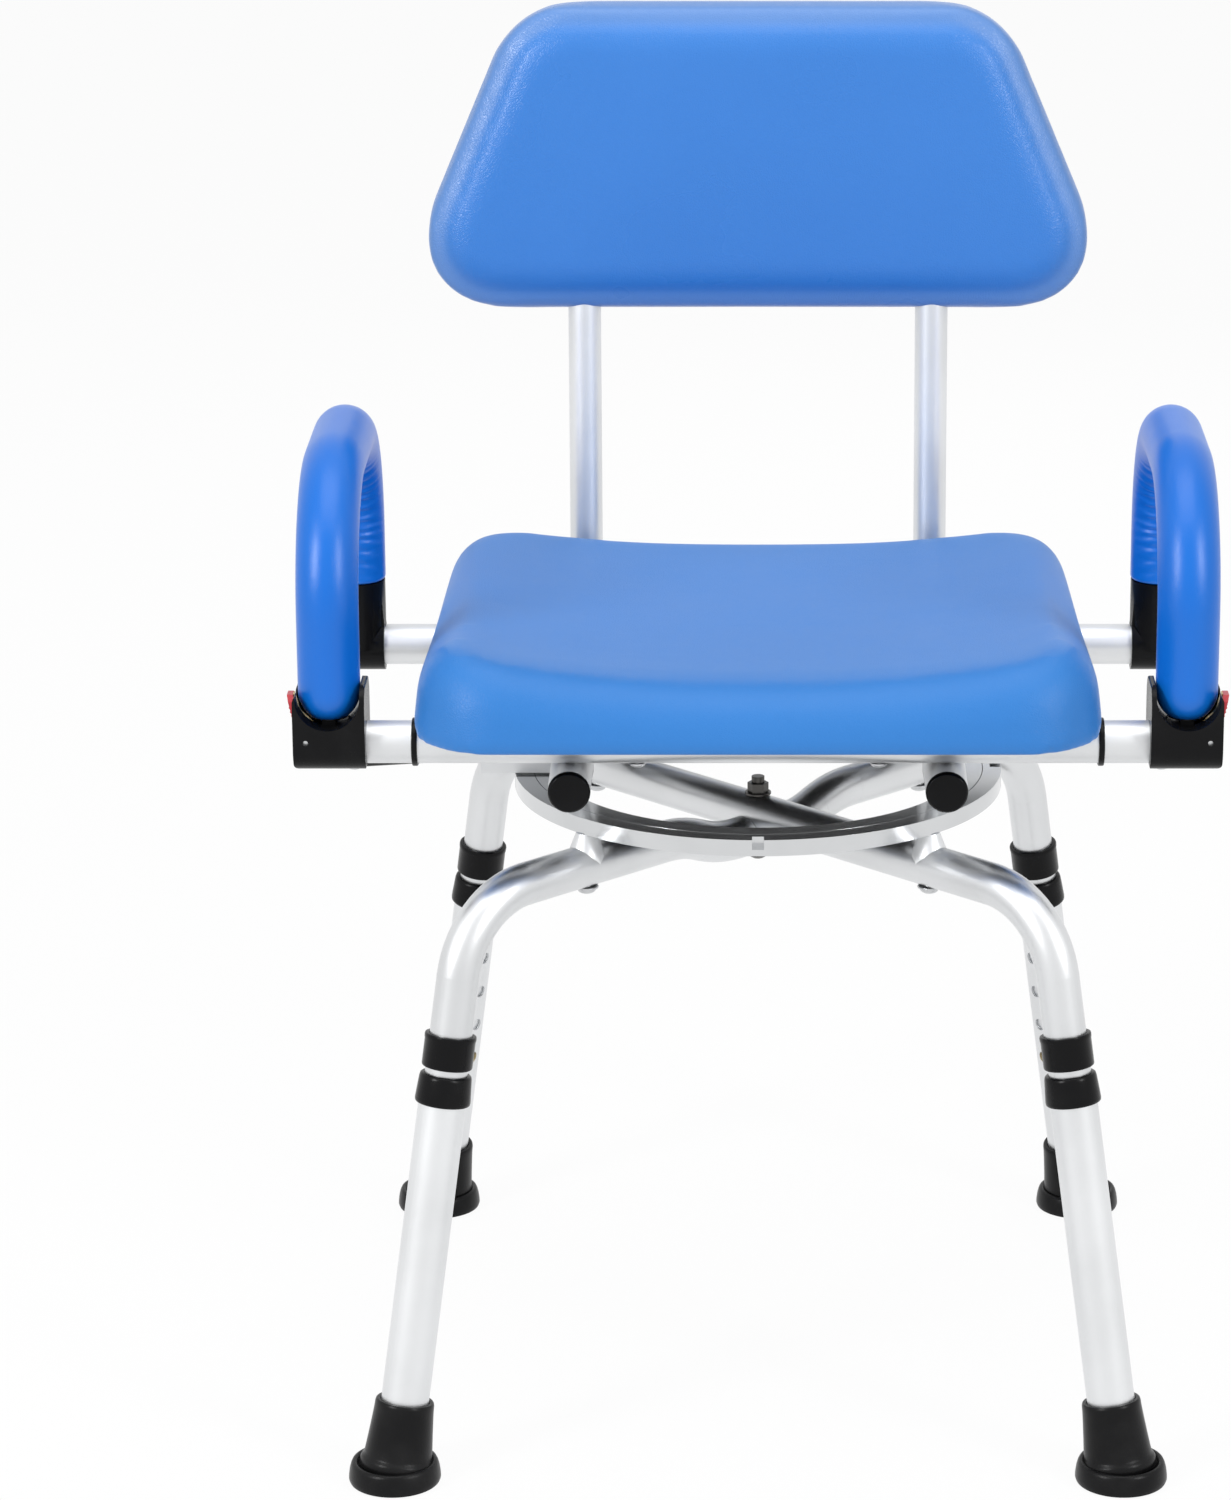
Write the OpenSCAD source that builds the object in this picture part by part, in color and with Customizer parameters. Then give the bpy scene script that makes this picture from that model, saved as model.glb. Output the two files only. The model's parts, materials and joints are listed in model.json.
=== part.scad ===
// Padded swivel bath chair: four telescopic legs, ring bearing, padded seat, back and swing-up arms.
// The chair faces -Y, and left and right are the sitter's: left is +X.

/* [Base] */
// Half the distance between neighbouring feet
foot_half = 217; // [190:1:240]
// Outward lean of each leg in its own diagonal plane, degrees
leg_lean = 10.7; // [6:0.1:13]
// Outside diameter of the frame tubes
tube_d = 25.4; // [22:0.2:27]
// Wall of the frame tubes
tube_wall = 2; // [1.5:0.1:2.4]
// Height of the base tubes' axis above the floor
base_z = 349; // [330:1:365]
// Centreline radius of the leg bends
bend_r = 55; // [45:1:65]
// How far the lower base tube dips under the upper one
joggle_drop = 12; // [10:0.5:14]
// Radius of the joggle's four bends
joggle_r = 80; // [60:1:90]
// Half length of the level stretch at the crossing
joggle_flat = 20; // [16:1:24]
// Radius of the bolt through the crossing
cross_bolt_r = 4; // [3:0.5:5]

/* [Legs] */
// Wall of the lower leg tubes
leg_wall = 1.5; // [1.2:0.1:2]
// Lower end of the lower leg tube, measured along the leg
leg_bottom = 12; // [10:1:16]
// Upper end of the lower leg tube, measured along the leg
leg_top = 249; // [235:1:255]
// Lower end of the frame tube inside the leg
inner_leg_bottom = 92; // [60:1:95]
// Height of the snap button, measured along the leg
button_z = 121; // [115:1:130]
// Radius of the snap button
button_r = 3.9; // [3:0.1:4.3]
// Outward travel of the snap button
button_travel = 3; // [2:0.1:3]
// Distance between the height holes
hole_pitch = 25; // [20:1:30]
// Number of height holes in a leg
hole_count = 4; // [3:1:5]
// Height of the upper collars
collar_h = 20; // [14:1:26]
// Wall of the upper collars
collar_wall = 2.4; // [1.8:0.1:3.2]
// Height of the bushing at the top of a lower leg
bushing_h = 18; // [14:1:24]
// Diameter of a foot's flange
foot_d = 55; // [48:1:60]
// Height of a foot's sleeve, measured along the leg
foot_h = 50; // [40:1:60]

/* [Swivel ring] */
// Outside diameter of the swivel ring
ring_d = 300; // [290:1:310]
// Bore of the swivel ring
ring_bore = 251; // [246:1:253]
// Thickness of the swivel ring
ring_h = 10; // [9:0.5:12]
// Height of the ring's top face above the base tubes' axis
ring_rise = 31; // [29:0.5:34]
// Radius of the seam between the two rings
seam_r = 138.5; // [138:0.1:139]
// Diameter of the bearing balls
ball_d = 6; // [5:0.1:6.2]
// Number of bearing balls
ball_count = 36; // [12:1:60]
// Radius of the bolts through the spacers
ring_bolt_r = 2.8; // [2:0.1:3]
// Radius at which the base bolts meet the outer ring
base_bolt_circle = 145.4; // [145:0.1:145.8]
// Width of a lock notch in the outer ring
notch_w = 7; // [6.5:0.1:9]
// Depth of a lock notch
notch_depth = 6; // [4:0.5:7]

/* [Seat frame] */
// Half the distance between the two runner tubes
runner_x = 111.5; // [110:0.5:113]
// Height of the spacers between inner ring and runners
spacer_h = 12.8; // [11:0.1:16]
// Front end of the runners
runner_front = -136; // [-150:1:-130]
// Rear end of the runners
runner_rear = 152; // [140:1:155]
// Place of the seat bolts along the runners
seat_bolt_y = 69.5; // [67:0.5:72]
// Place of the front cross tube
cross_front = -118; // [-125:1:-112]
// Place of the rear cross tube
cross_rear = 95; // [92:1:105]
// Half length of the front cross tube
cross_front_end = 246; // [244:0.5:246]
// Half length of the rear cross tube
cross_rear_end = 261; // [256:1:264]

/* [Seat pad] */
// Width of the seat at the front
seat_w = 402; // [380:1:404]
// Width of the seat at the rear
seat_rear_w = 390; // [370:1:404]
// Front edge of the seat
seat_front = -190; // [-200:1:-180]
// Rear edge of the seat
seat_rear = 186; // [176:1:187]
// Corner radius of the seat
seat_corner = 52; // [35:1:70]
// Height of the seat's surface above its underside at the lowest point
seat_t = 27; // [24:1:40]
// Rise of the seat's sides above the lowest point
seat_side_rise = 17; // [6:1:24]
// Rise of the seat's front and rear above the lowest point
seat_end_rise = 8; // [2:1:14]
// Thickness of the board in the seat
board_t = 8; // [6:1:12]
// Margin between the board and the edge of the seat
board_margin = 28; // [22:1:40]

/* [Back] */
// Outside diameter of the back posts
post_d = 21; // [18:0.1:21.2]
// Wall of the back posts
post_wall = 1.8; // [1.2:0.1:2.4]
// Where the posts' line meets the runners' axis
post_y = 199; // [196:1:205]
// Backward lean of the posts, degrees
post_lean = 3; // [1:0.5:3.5]
// Centreline radius of the posts' bends
post_bend = 45; // [38:1:48]
// Length of post plugged into the runner
post_plug = 66; // [50:1:68]
// Width of the backrest, widest near its foot
back_w = 420; // [390:1:430]
// Width of the backrest at its top
back_top_w = 340; // [310:1:380]
// Height of the backrest
back_h = 191; // [160:1:200]
// Thickness of the backrest
back_t = 44; // [38:1:46]
// Corner radius of the backrest
back_corner = 50; // [30:1:60]
// Height of the backrest's lower edge above the runners' axis, along the posts
back_rise = 222; // [200:1:240]
// Length of post inside the backrest
post_in_back = 150; // [110:1:155]

/* [Arms] */
// Distance of the arm's plane from the middle
arm_x = 253; // [252.5:0.5:254]
// Height of the arm tube's top run above the cross tubes' axis
arm_rise = 151.6; // [135:0.1:170]
// Centreline radius of the arm's bends
arm_bend = 75; // [55:1:90]
// Outside diameter of the arm's foam sleeve
arm_pad_d = 37; // [34:0.5:37.5]
// Outside diameter of the arm tube
arm_tube_d = 22; // [20:0.2:23]
// Wall of the arm tube
arm_tube_wall = 2; // [1.5:0.1:2.5]
// Height above the cross tubes at which the sleeve's rounded front end starts
arm_seat_rise = 31.6; // [31.2:0.1:33]
// Height above the cross tubes at which the sleeve ends at the rear
arm_rear_rise = 43; // [38:1:50]
// Outside diameter of the elbow's collar on the rear cross tube
elbow_d = 32; // [31.5:0.5:36]
// Radius of the arm's pivot bolt
pivot_bolt_r = 3; // [2:0.1:4]

/* [Arm latch] */
// Length of the socket from front to back
socket_l = 42; // [40:1:46]
// Height of the latch pivot above the cross tubes' axis
latch_rise = 5.2; // [5:0.1:5.4]
// Distance of the latch pivot from the arm's plane
latch_out = 13; // [12.8:0.1:13.2]
// Radius of the latch pin
latch_pin_r = 1.5; // [1.2:0.1:1.8]
// Width of the latch tab at its widest
latch_w = 15; // [13:0.5:15.4]
// Thickness of the arm plug's tongue
tongue_t = 8; // [7.6:0.1:8]

/* [Swivel lock] */
// Width of the lock box
lock_w = 40; // [36:1:44]
// Wall of the lock box
lock_wall = 3; // [2:0.2:4]
// Outer end of the lock box, from the middle
lock_out = 170; // [166:1:176]
// Distance of the lever's pivot from the middle
lever_x = 128.5; // [127.5:0.5:130]
// Height of the lever's pivot above the ring
lever_rise = 14; // [13:0.5:15]
// Downward slope of the lever, degrees
lever_slope = 3.5; // [2:0.5:5]
// Width of the lever plate
lever_w = 25; // [20:1:27]
// Thickness of the lever plate
lever_t = 3; // [2.4:0.2:4]
// Outer end of the grip, from the middle
grip_out = 255; // [240:1:265]
// Length of the grip
grip_l = 68; // [55:1:75]
// Thickness of the grip
grip_t = 9; // [7:0.5:11]
// Width of the grip
grip_w = 29; // [28:0.5:34]
// Coils of the lock spring
spring_coils = 8; // [5:1:10]
// Wire of the lock spring
spring_wire = 1.4; // [1:0.1:1.8]
// Mean radius of the lock spring
spring_r = 5.6; // [4:0.2:7]

/* [Clearances] */
// Radial clearance of a running or sliding fit
run_gap = 0.08; // [0.03:0.01:0.1]
// Radial clearance of a fixed fit
grip_gap = 0.06; // [0.03:0.01:0.1]
// Clearance between a piece and what it rests on
rest_gap = 0.2; // [0.1:0.05:0.3]
// Clearance between soft or moving pieces
free_gap = 0.5; // [0.4:0.1:0.6]

/* [Hidden] */
$fn = 64;

// Direction of each leg from the middle, degrees
FRONT_LEFT = -45;
FRONT_RIGHT = -135;
REAR_LEFT = 45;
REAR_RIGHT = 135;
LEG_TURNS = [FRONT_LEFT, FRONT_RIGHT, REAR_LEFT, REAR_RIGHT];
LEFT = 1;
RIGHT = -1;
SIDES = [LEFT, RIGHT];

// Colours of the finishes
ALUMINIUM = "#c9cccf";
STEEL = "#9a9da0";
BRASS = "#c8a24a";
BLACK = "#1d1d1f";
RUBBER = "#232325";
BLUE = "#2f6fc4";
RED = "#d9434f";
BOARD = "#8a8d90";

// Length by which a cutter passes the faces that it cuts
past = 1;

// Size of the faint bead at the ends of a bend
bead_rise = 0.05;
bead_half = 0.6;

// Base: where the bent tubes run
foot_r = foot_half * sqrt(2);
tube_r = tube_d / 2;
tube_bore_r = tube_r - tube_wall;
corner_u = foot_r - base_z * tan(leg_lean);
bend_turn = 90 - leg_lean;
bend_set = bend_r * tan(bend_turn / 2);
run_end = corner_u - bend_set;
bend_along = base_z / cos(leg_lean) - bend_set;
joggle_turn = acos(1 - joggle_drop / (2 * joggle_r));
joggle_end = joggle_flat + 2 * joggle_r * sin(joggle_turn);
saddle_r = tube_r + rest_gap;
nut_r = 1.65 * cross_bolt_r;
nut_h = 1.5 * cross_bolt_r;
washer_t = 1.5;
stud_over = 4;

// Legs: sliding fit of lower tube on frame tube
leg_bore_r = tube_r + run_gap;
leg_r = leg_bore_r + leg_wall;
bushing_lip = 2;
bushing_top_r = leg_r + 1.1;
bushing_foot_r = leg_r + 2.3;
collar_low = leg_top + bushing_lip + 4;
collar_r = tube_r + collar_wall;
sleeve_top_r = leg_r + 2.5;
sleeve_foot_r = leg_r + 6;
sleeve_low = 5;
flange_r = foot_d / 2;
flange_lip = 1.2;
flange_low_h = 6.5;
flange_groove_h = 9;
flange_top_h = 13;
flange_shoulder = 6;
flange_shoulder_h = 16;
button_hole_r = button_r + 2 * run_gap;
button_edge = 1;
button_tip = sqrt(pow(leg_bore_r, 2) - pow(button_r - button_edge, 2)) - run_gap;
button_flange_r = button_r + 0.8;
button_back = sqrt(pow(tube_bore_r - 2 * run_gap, 2) - pow(button_flange_r, 2)) - button_travel;
leaf_t = 0.8;
leaf_w = 1.8 * button_r;
leaf_h = 26;
leaf_tail = 8;
leaf_back = sqrt(pow(tube_bore_r, 2) - pow(leaf_w / 2, 2)) - rest_gap;

// Swivel ring
ring_top = base_z + ring_rise;
ring_low = ring_top - ring_h;
ring_r = ring_d / 2;
ring_bore_r = ring_bore / 2;
seam_gap = 0.4;
race_r = ball_d / 2 + run_gap;
bolt_hole_r = ring_bolt_r + grip_gap;
notch_r = ring_r - 7;
base_spacer_top_r = min(base_bolt_circle - seam_r - seam_gap, ring_r - base_bolt_circle) + 1.4;
base_spacer_foot_r = base_spacer_top_r + 7.5;
bolt_head_r = 2 * ring_bolt_r;
bolt_head_h = 1.2 * ring_bolt_r;

// Seat frame
runner_z = ring_top + spacer_h + tube_r;
cross_z = runner_z + tube_d + grip_gap;
seat_z = cross_z + tube_r + rest_gap;
seat_spacer_foot_r = 8.6;
seat_spacer_top_r = 13.5;
seat_screw_in = 40;
seat_screw_x = runner_x - seat_screw_in;
seat_screw_r = 2.5;
screw_head_r = 2 * seat_screw_r;
screw_head_h = 1.2 * seat_screw_r;
cap_plug_l = 16;
cap_face_t = 3;
grommet_t = 3.5;
grommet_r = tube_r + 1.7;

// Back posts
post_r = post_d / 2;
post_turn = 90 - post_lean;
post_run_end = post_y - post_bend * tan(post_turn / 2);
post_rise_start = post_bend * tan(post_turn / 2);
post_front = runner_rear - post_plug;
post_top = back_rise + post_in_back;
post_hole_r = post_r + rest_gap;
back_screw_rise = back_rise + post_in_back / 2;
back_screw_r = 2.2;
post_screw_in = 20;
post_screw_y = runner_rear - post_screw_in;

// Arms
arm_top = cross_z + arm_rise;
arm_seat_z = cross_z + arm_seat_rise;
arm_rear_z = cross_z + arm_rear_rise;
arm_pad_r = arm_pad_d / 2;
arm_tube_r = arm_tube_d / 2;
arm_bore_r = arm_tube_r - arm_tube_wall;
arm_tube_front_z = arm_seat_z - arm_pad_r + 6;
arm_tube_rear_z = cross_z + elbow_d / 2 + 1;
elbow_in = arm_x - arm_pad_r + 1;
elbow_post_r = arm_pad_r - 0.4;
elbow_out = arm_x + elbow_post_r;
gusset_l = 12;
plug_l = 22;

// Arm sockets and latches
trough_r = arm_pad_r + free_gap;
socket_in = arm_x - trough_r - 3;
socket_out = arm_x + trough_r + 1.5;
socket_low = cross_z - tube_r - 1.2;
socket_in_top = arm_seat_z + 6.5;
socket_out_top = arm_seat_z + 2.5;
socket_corner = 5;
socket_side_round = 14;
tongue_out = arm_x + tongue_t / 2;
tongue_w = 18;
tongue_low = cross_z - 10.4;
tongue_slot_low = tongue_low - rest_gap;
tongue_room_rear = 3;
catch_depth = 2.4;
catch_low = cross_z - 8.2;
catch_high = cross_z - 0.8;
latch_x = arm_x + latch_out;
latch_z = cross_z + latch_rise;
latch_boss_r = latch_pin_r + 2.1;
nose_tip = latch_x - tongue_out - 0.35;
nose_low = -12;
nose_high = -8;
tab_top = 25;
tab_lean = 5.7;
tab_inner = 2.5;
tab_t = 3.5;
tab_foot_w = latch_w - 5.5;
rib_r = 0.7;
rib_count = 4;
rib_step = 2.6;
pocket_half = latch_w / 2 + free_gap;
leaf_spring_t = 0.6;
leaf_spring_w = 6;
leaf_anchor = latch_x - 4.5;

// Swivel lock
lever_z = ring_top + lever_rise;
lock_low = ring_top + 1.2;
lock_pad_t = 5;
lock_top = seat_z - lock_pad_t - rest_gap;
lock_in = runner_x + 6;
lever_pin_r = 2;
lever_eye_r = lever_pin_r + 2.2;
tooth_in = notch_r + 2.6;
tooth_t = 3.6;
tooth_w = notch_w - 1.6;
tooth_tip = ring_top + 0.4;
spring_x = 150;
spring_low = lever_z + lever_t / 2 - (spring_x - lever_x) * tan(lever_slope) + 2 * rest_gap;
spring_high = lock_top - lock_wall - rest_gap;
lever_tail = grip_out - 8;

// Places its children on a leg's axis: +Z runs up the leg, -X faces the middle of the chair
module in_leg(turn) {
    rotate([0, 0, turn])
        translate([foot_r, 0, 0])
            rotate([0, -leg_lean, 0])
                children();
}

// Mirrors its children to the sitter's right where asked
module on_side(side) {
    if (side == LEFT) children();
    else mirror([1, 0, 0]) children();
}

// Stands its children on the line of the back posts
module on_back() {
    translate([0, post_y, runner_z])
        rotate([-post_lean, 0, 0])
            children();
}

// Quarter or other arc of round bar in the XZ plane, from one angle through a turn
module bar_arc(d, radius, from, turn) {
    rotate([90, 0, 0])
        rotate([0, 0, from])
            rotate_extrude(angle = turn)
                translate([radius, 0])
                    circle(d = d);
}

// Faint bead around a round bar where a bend begins or ends
module bend_bead(d) {
    cylinder(d = d + 2 * bead_rise, h = 2 * bead_half, center = true);
}

module bar_x(d, length) {
    rotate([0, 90, 0])
        cylinder(d = d, h = length);
}

module bar_y(d, length) {
    rotate([-90, 0, 0])
        cylinder(d = d, h = length);
}

module plate_xz(width) {
    rotate([90, 0, 0])
        linear_extrude(width, center = true)
            children();
}

module rounded_rect(low, high, r) {
    translate([low.x + r, low.y])
        square([high.x - low.x - 2 * r, high.y - low.y]);
    translate([low.x, low.y + r])
        square([high.x - low.x, high.y - low.y - 2 * r]);
    for (x = [low.x + r, high.x - r], y = [low.y + r, high.y - r])
        translate([x, y])
            circle(r);
}

// Domed screw along +Z: the head hangs below z = 0 and the shank rises above it
module domed_screw(r, head_r, head_h, length) {
    rotate_extrude() {
        square([r, length]);
        translate([0, -head_h / 2])
            square([head_r, head_h / 2]);
        translate([0, -head_h])
            square([head_r / 2, head_h]);
        polygon([[0, -head_h], [head_r / 2, -head_h], [head_r, -head_h / 2], [0, -head_h / 2]]);
    }
}

// Half of a base tube as a solid bar in its own diagonal plane
module base_half(d, drop, over) {
    if (drop == 0)
        translate([0, 0, base_z])
            bar_x(d, run_end);
    else {
        translate([0, 0, base_z - drop])
            bar_x(d, joggle_flat);
        translate([joggle_flat, 0, base_z - drop + joggle_r])
            bar_arc(d, joggle_r, -90, joggle_turn);
        translate([joggle_end, 0, base_z - joggle_r])
            bar_arc(d, joggle_r, 90, joggle_turn);
        translate([joggle_end, 0, base_z])
            bar_x(d, run_end - joggle_end);
        translate([joggle_flat, 0, base_z - drop])
            rotate([0, 90, 0])
                bend_bead(d);
        translate([(joggle_flat + joggle_end) / 2, 0, base_z - drop / 2])
            rotate([0, 90 - joggle_turn, 0])
                bend_bead(d);
        translate([joggle_end, 0, base_z])
            rotate([0, 90, 0])
                bend_bead(d);
    }
    translate([run_end, 0, base_z])
        rotate([0, 90, 0])
            bend_bead(d);
    translate([run_end, 0, base_z - bend_r])
        bar_arc(d, bend_r, leg_lean, bend_turn);
    in_leg(0) {
        translate([0, 0, bend_along])
            bend_bead(d);
        translate([0, 0, inner_leg_bottom - over])
            cylinder(d = d, h = bend_along - inner_leg_bottom + over);
    }
}

module base_bar(d, drop, over = 0) {
    for (turn = [0, 180])
        rotate([0, 0, turn])
            base_half(d, drop, over);
}

// Holes of a base tube: crossing bolt, ring bolts and snap buttons
module base_holes() {
    cylinder(r = cross_bolt_r + grip_gap, h = base_z + tube_d);
    for (turn = [0, 180]) {
        rotate([0, 0, turn])
            translate([base_bolt_circle, 0, base_z - tube_d])
                cylinder(r = bolt_hole_r, h = 2 * tube_d);
        in_leg(turn)
            translate([0, 0, button_z])
                rotate([0, -90, 0])
                    cylinder(r = button_hole_r, h = tube_d);
    }
}

module base_tube_upper() {
    color(ALUMINIUM)
        rotate([0, 0, FRONT_LEFT])
            difference() {
                base_bar(tube_d, 0);
                base_bar(2 * tube_bore_r, 0, past);
                base_holes();
            }
}

// The lower tube is pressed in where the upper one crosses it, and keeps its wall there
module base_tube_lower() {
    color(ALUMINIUM)
        rotate([0, 0, REAR_LEFT])
            difference() {
                union() {
                    difference() {
                        base_bar(tube_d, joggle_drop);
                        base_bar(2 * tube_bore_r, joggle_drop, past);
                    }
                    intersection() {
                        translate([-joggle_flat, 0, base_z - joggle_drop])
                            bar_x(tube_d, 2 * joggle_flat);
                        translate([0, -tube_d, base_z])
                            bar_y(2 * (saddle_r + tube_wall), 2 * tube_d);
                    }
                }
                translate([0, -tube_d, base_z])
                    bar_y(2 * saddle_r, 2 * tube_d);
                base_holes();
            }
}

// Through bolt of the crossing, with its washer and nut
module cross_bolt() {
    head_z = base_z - joggle_drop - tube_r;
    washer_z = base_z + tube_r;
    nut_z = washer_z + washer_t;
    color(STEEL) {
        translate([0, 0, head_z])
            domed_screw(cross_bolt_r, nut_r, cross_bolt_r, nut_z + nut_h + stud_over - head_z);
        translate([0, 0, washer_z])
            difference() {
                cylinder(r = nut_r + 1.5, h = washer_t);
                translate([0, 0, -past])
                    cylinder(r = cross_bolt_r + grip_gap, h = washer_t + 2 * past);
            }
        translate([0, 0, nut_z])
            difference() {
                cylinder(r = nut_r, h = nut_h, $fn = 6);
                translate([0, 0, -past])
                    cylinder(r = cross_bolt_r + grip_gap, h = nut_h + 2 * past);
            }
    }
}

module leg_collars() {
    color(BLACK)
        for (turn = LEG_TURNS)
            in_leg(turn)
                translate([0, 0, collar_low])
                    difference() {
                        cylinder(r = collar_r, h = collar_h);
                        translate([0, 0, -past])
                            cylinder(r = tube_r + grip_gap, h = collar_h + 2 * past);
                    }
}

// Half of the ball race, cut from a ring's profile
module race_profile() {
    translate([seam_r, ring_top - ring_h / 2])
        circle(race_r);
}

module ring_outer() {
    ring_in = seam_r + seam_gap / 2;
    color(ALUMINIUM)
        difference() {
            rotate_extrude()
                difference() {
                    translate([ring_in, ring_low])
                        square([ring_r - ring_in, ring_h]);
                    race_profile();
                }
            for (turn = [0 : 90 : 270])
                rotate([0, 0, turn])
                    translate([notch_r, -notch_w / 2, ring_top - notch_depth])
                        cube([ring_r - notch_r + past, notch_w, notch_depth + past]);
            for (turn = LEG_TURNS)
                rotate([0, 0, turn])
                    translate([base_bolt_circle, 0, ring_low - past])
                        cylinder(r = bolt_hole_r, h = ring_h - 2 + past);
        }
}

// Eight-sided tapered spacer around a bolt hole
module spacer(low, high, low_r, high_r) {
    difference() {
        intersection() {
            translate([0, 0, low])
                cylinder(r = 0.92 * max(low_r, high_r), h = high - low, $fn = 8);
            translate([0, 0, low])
                cylinder(r1 = low_r, r2 = high_r, h = high - low);
        }
        translate([0, 0, low - past])
            cylinder(r = bolt_hole_r, h = high - low + 2 * past);
    }
}

module base_spacers() {
    saddle_half = base_spacer_foot_r + past;
    color(ALUMINIUM)
        for (turn = LEG_TURNS)
            rotate([0, 0, turn])
                translate([base_bolt_circle, 0, 0])
                    difference() {
                        spacer(base_z + 2, ring_low, base_spacer_foot_r, base_spacer_top_r);
                        translate([-saddle_half, 0, base_z])
                            bar_x(2 * (tube_r + grip_gap), 2 * saddle_half);
                    }
}

module base_bolts() {
    head_z = base_z - tube_r;
    color(STEEL)
        for (turn = LEG_TURNS)
            rotate([0, 0, turn])
                translate([base_bolt_circle, 0, head_z]) {
                    translate([0, 0, -washer_t])
                        domed_screw(ring_bolt_r, bolt_head_r, bolt_head_h, ring_low + ring_h - 3 - head_z);
                    translate([0, 0, -washer_t])
                        difference() {
                            cylinder(r = bolt_head_r + 1.6, h = washer_t);
                            translate([0, 0, -past])
                                cylinder(r = bolt_hole_r, h = washer_t + 2 * past);
                        }
                }
}

module bearing_balls() {
    color(STEEL)
        for (i = [0 : ball_count - 1])
            rotate([0, 0, 360 * i / ball_count])
                translate([seam_r, 0, ring_top - ring_h / 2])
                    sphere(d = ball_d);
}

// Stands its children at the four places where the runners are bolted to the inner ring
module at_seat_bolts() {
    for (x = [-runner_x, runner_x], y = [-seat_bolt_y, seat_bolt_y])
        translate([x, y, 0])
            children();
}

module ring_inner() {
    ring_out = seam_r - seam_gap / 2;
    color(ALUMINIUM)
        difference() {
            rotate_extrude()
                difference() {
                    translate([ring_bore_r, ring_low])
                        square([ring_out - ring_bore_r, ring_h]);
                    race_profile();
                }
            at_seat_bolts()
                translate([0, 0, ring_low + 1.5])
                    cylinder(r = bolt_hole_r, h = ring_h);
        }
}

module seat_spacers() {
    saddle_half = seat_spacer_top_r + past;
    color(ALUMINIUM)
        at_seat_bolts()
            difference() {
                spacer(ring_top, runner_z - 3, seat_spacer_foot_r, seat_spacer_top_r);
                translate([0, -saddle_half, runner_z])
                    bar_y(2 * (tube_r + grip_gap), 2 * saddle_half);
            }
}

module seat_bolts() {
    head_z = runner_z + tube_r;
    color(STEEL)
        at_seat_bolts()
            translate([0, 0, head_z])
                mirror([0, 0, 1])
                    domed_screw(ring_bolt_r, bolt_head_r, bolt_head_h, head_z - ring_low - 2);
}

module runners() {
    color(ALUMINIUM)
        difference() {
            for (side = SIDES)
                translate([side * runner_x, runner_front, runner_z])
                    difference() {
                        bar_y(tube_d, runner_rear - runner_front);
                        translate([0, -past, 0])
                            bar_y(2 * tube_bore_r, runner_rear - runner_front + 2 * past);
                    }
            at_seat_bolts()
                translate([0, 0, runner_z - tube_d])
                    cylinder(r = bolt_hole_r, h = 2 * tube_d);
            for (side = SIDES)
                translate([side * runner_x, post_screw_y, runner_z - tube_d])
                    cylinder(r = seat_screw_r + grip_gap, h = tube_d);
        }
}

module runner_caps() {
    color(BLACK)
        for (side = SIDES)
            translate([side * runner_x, runner_front, runner_z]) {
                rotate([90, 0, 0])
                    rotate_extrude()
                        polygon([
                            [0, 0], [tube_r - grip_gap, 0], [tube_r - grip_gap, cap_face_t / 2],
                            [tube_r - cap_face_t / 2, cap_face_t], [0, cap_face_t]
                        ]);
                bar_y(2 * (tube_bore_r - grip_gap), cap_plug_l);
            }
}

// Tube along X with holes for the screws that hold the seat board
module cross_tube(y, half) {
    translate([-half, y, cross_z])
        difference() {
            bar_x(tube_d, 2 * half);
            translate([-past, 0, 0])
                bar_x(2 * tube_bore_r, 2 * half + 2 * past);
            for (side = SIDES)
                translate([half + side * seat_screw_x, 0, -tube_d])
                    cylinder(r = seat_screw_r + grip_gap, h = 2 * tube_d);
        }
}

socket_screw_x = socket_in + 8;

module cross_tube_front() {
    color(ALUMINIUM)
        difference() {
            cross_tube(cross_front, cross_front_end);
            for (side = SIDES)
                translate([side * socket_screw_x, cross_front, cross_z - tube_d])
                    cylinder(r = seat_screw_r + grip_gap, h = tube_d);
        }
}

module cross_tube_rear() {
    color(ALUMINIUM)
        cross_tube(cross_rear, cross_rear_end);
}

// Half the seat's width at a place along its straight flank
function seat_half(y) =
    seat_w / 2 + (seat_rear_w - seat_w) / 2
    * (y - seat_front - seat_corner) / (seat_rear - seat_front - 2 * seat_corner);

module tube_grommets() {
    color(BLACK)
        for (side = SIDES, y = [cross_front, cross_rear])
            on_side(side)
                translate([seat_half(y) + free_gap, y, cross_z])
                    difference() {
                        bar_x(2 * grommet_r, grommet_t);
                        translate([-past, 0, 0])
                            bar_x(2 * (tube_r + grip_gap), grommet_t + 2 * past);
                    }
}

// Points along a rounded outline that is low_w wide at its foot and high_w wide at its head
ARC_STEPS = 6;
EDGE_STEPS = 6;
function on_arc(c, r, angle) = c + r * [cos(angle), sin(angle)];
function arc_points(c, r, from, to) =
    [for (i = [0 : ARC_STEPS]) on_arc(c, r, from + (to - from) * i / ARC_STEPS)];
function between(a, b) = [for (i = [1 : EDGE_STEPS - 1]) a + (b - a) * i / EDGE_STEPS];
function first_after(arcs, i) = arcs[(i + 1) % len(arcs)][0];
function joined(arcs) =
    [for (i = [0 : len(arcs) - 1]) each concat(arcs[i], between(arcs[i][ARC_STEPS], first_after(arcs, i)))];
function outline(low_w, high_w, low, high, corner, inset) =
    let (x_low = low_w / 2 - corner, x_high = high_w / 2 - corner)
    let (y_low = low + corner, y_high = high - corner)
    let (slant = atan2(x_low - x_high, y_high - y_low), r = corner - inset)
    joined([
        arc_points([x_low, y_low], r, -90, slant),
        arc_points([x_high, y_high], r, slant, 90),
        arc_points([-x_high, y_high], r, 90, 180 - slant),
        arc_points([-x_low, y_low], r, 180 - slant, 270)
    ]);

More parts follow.
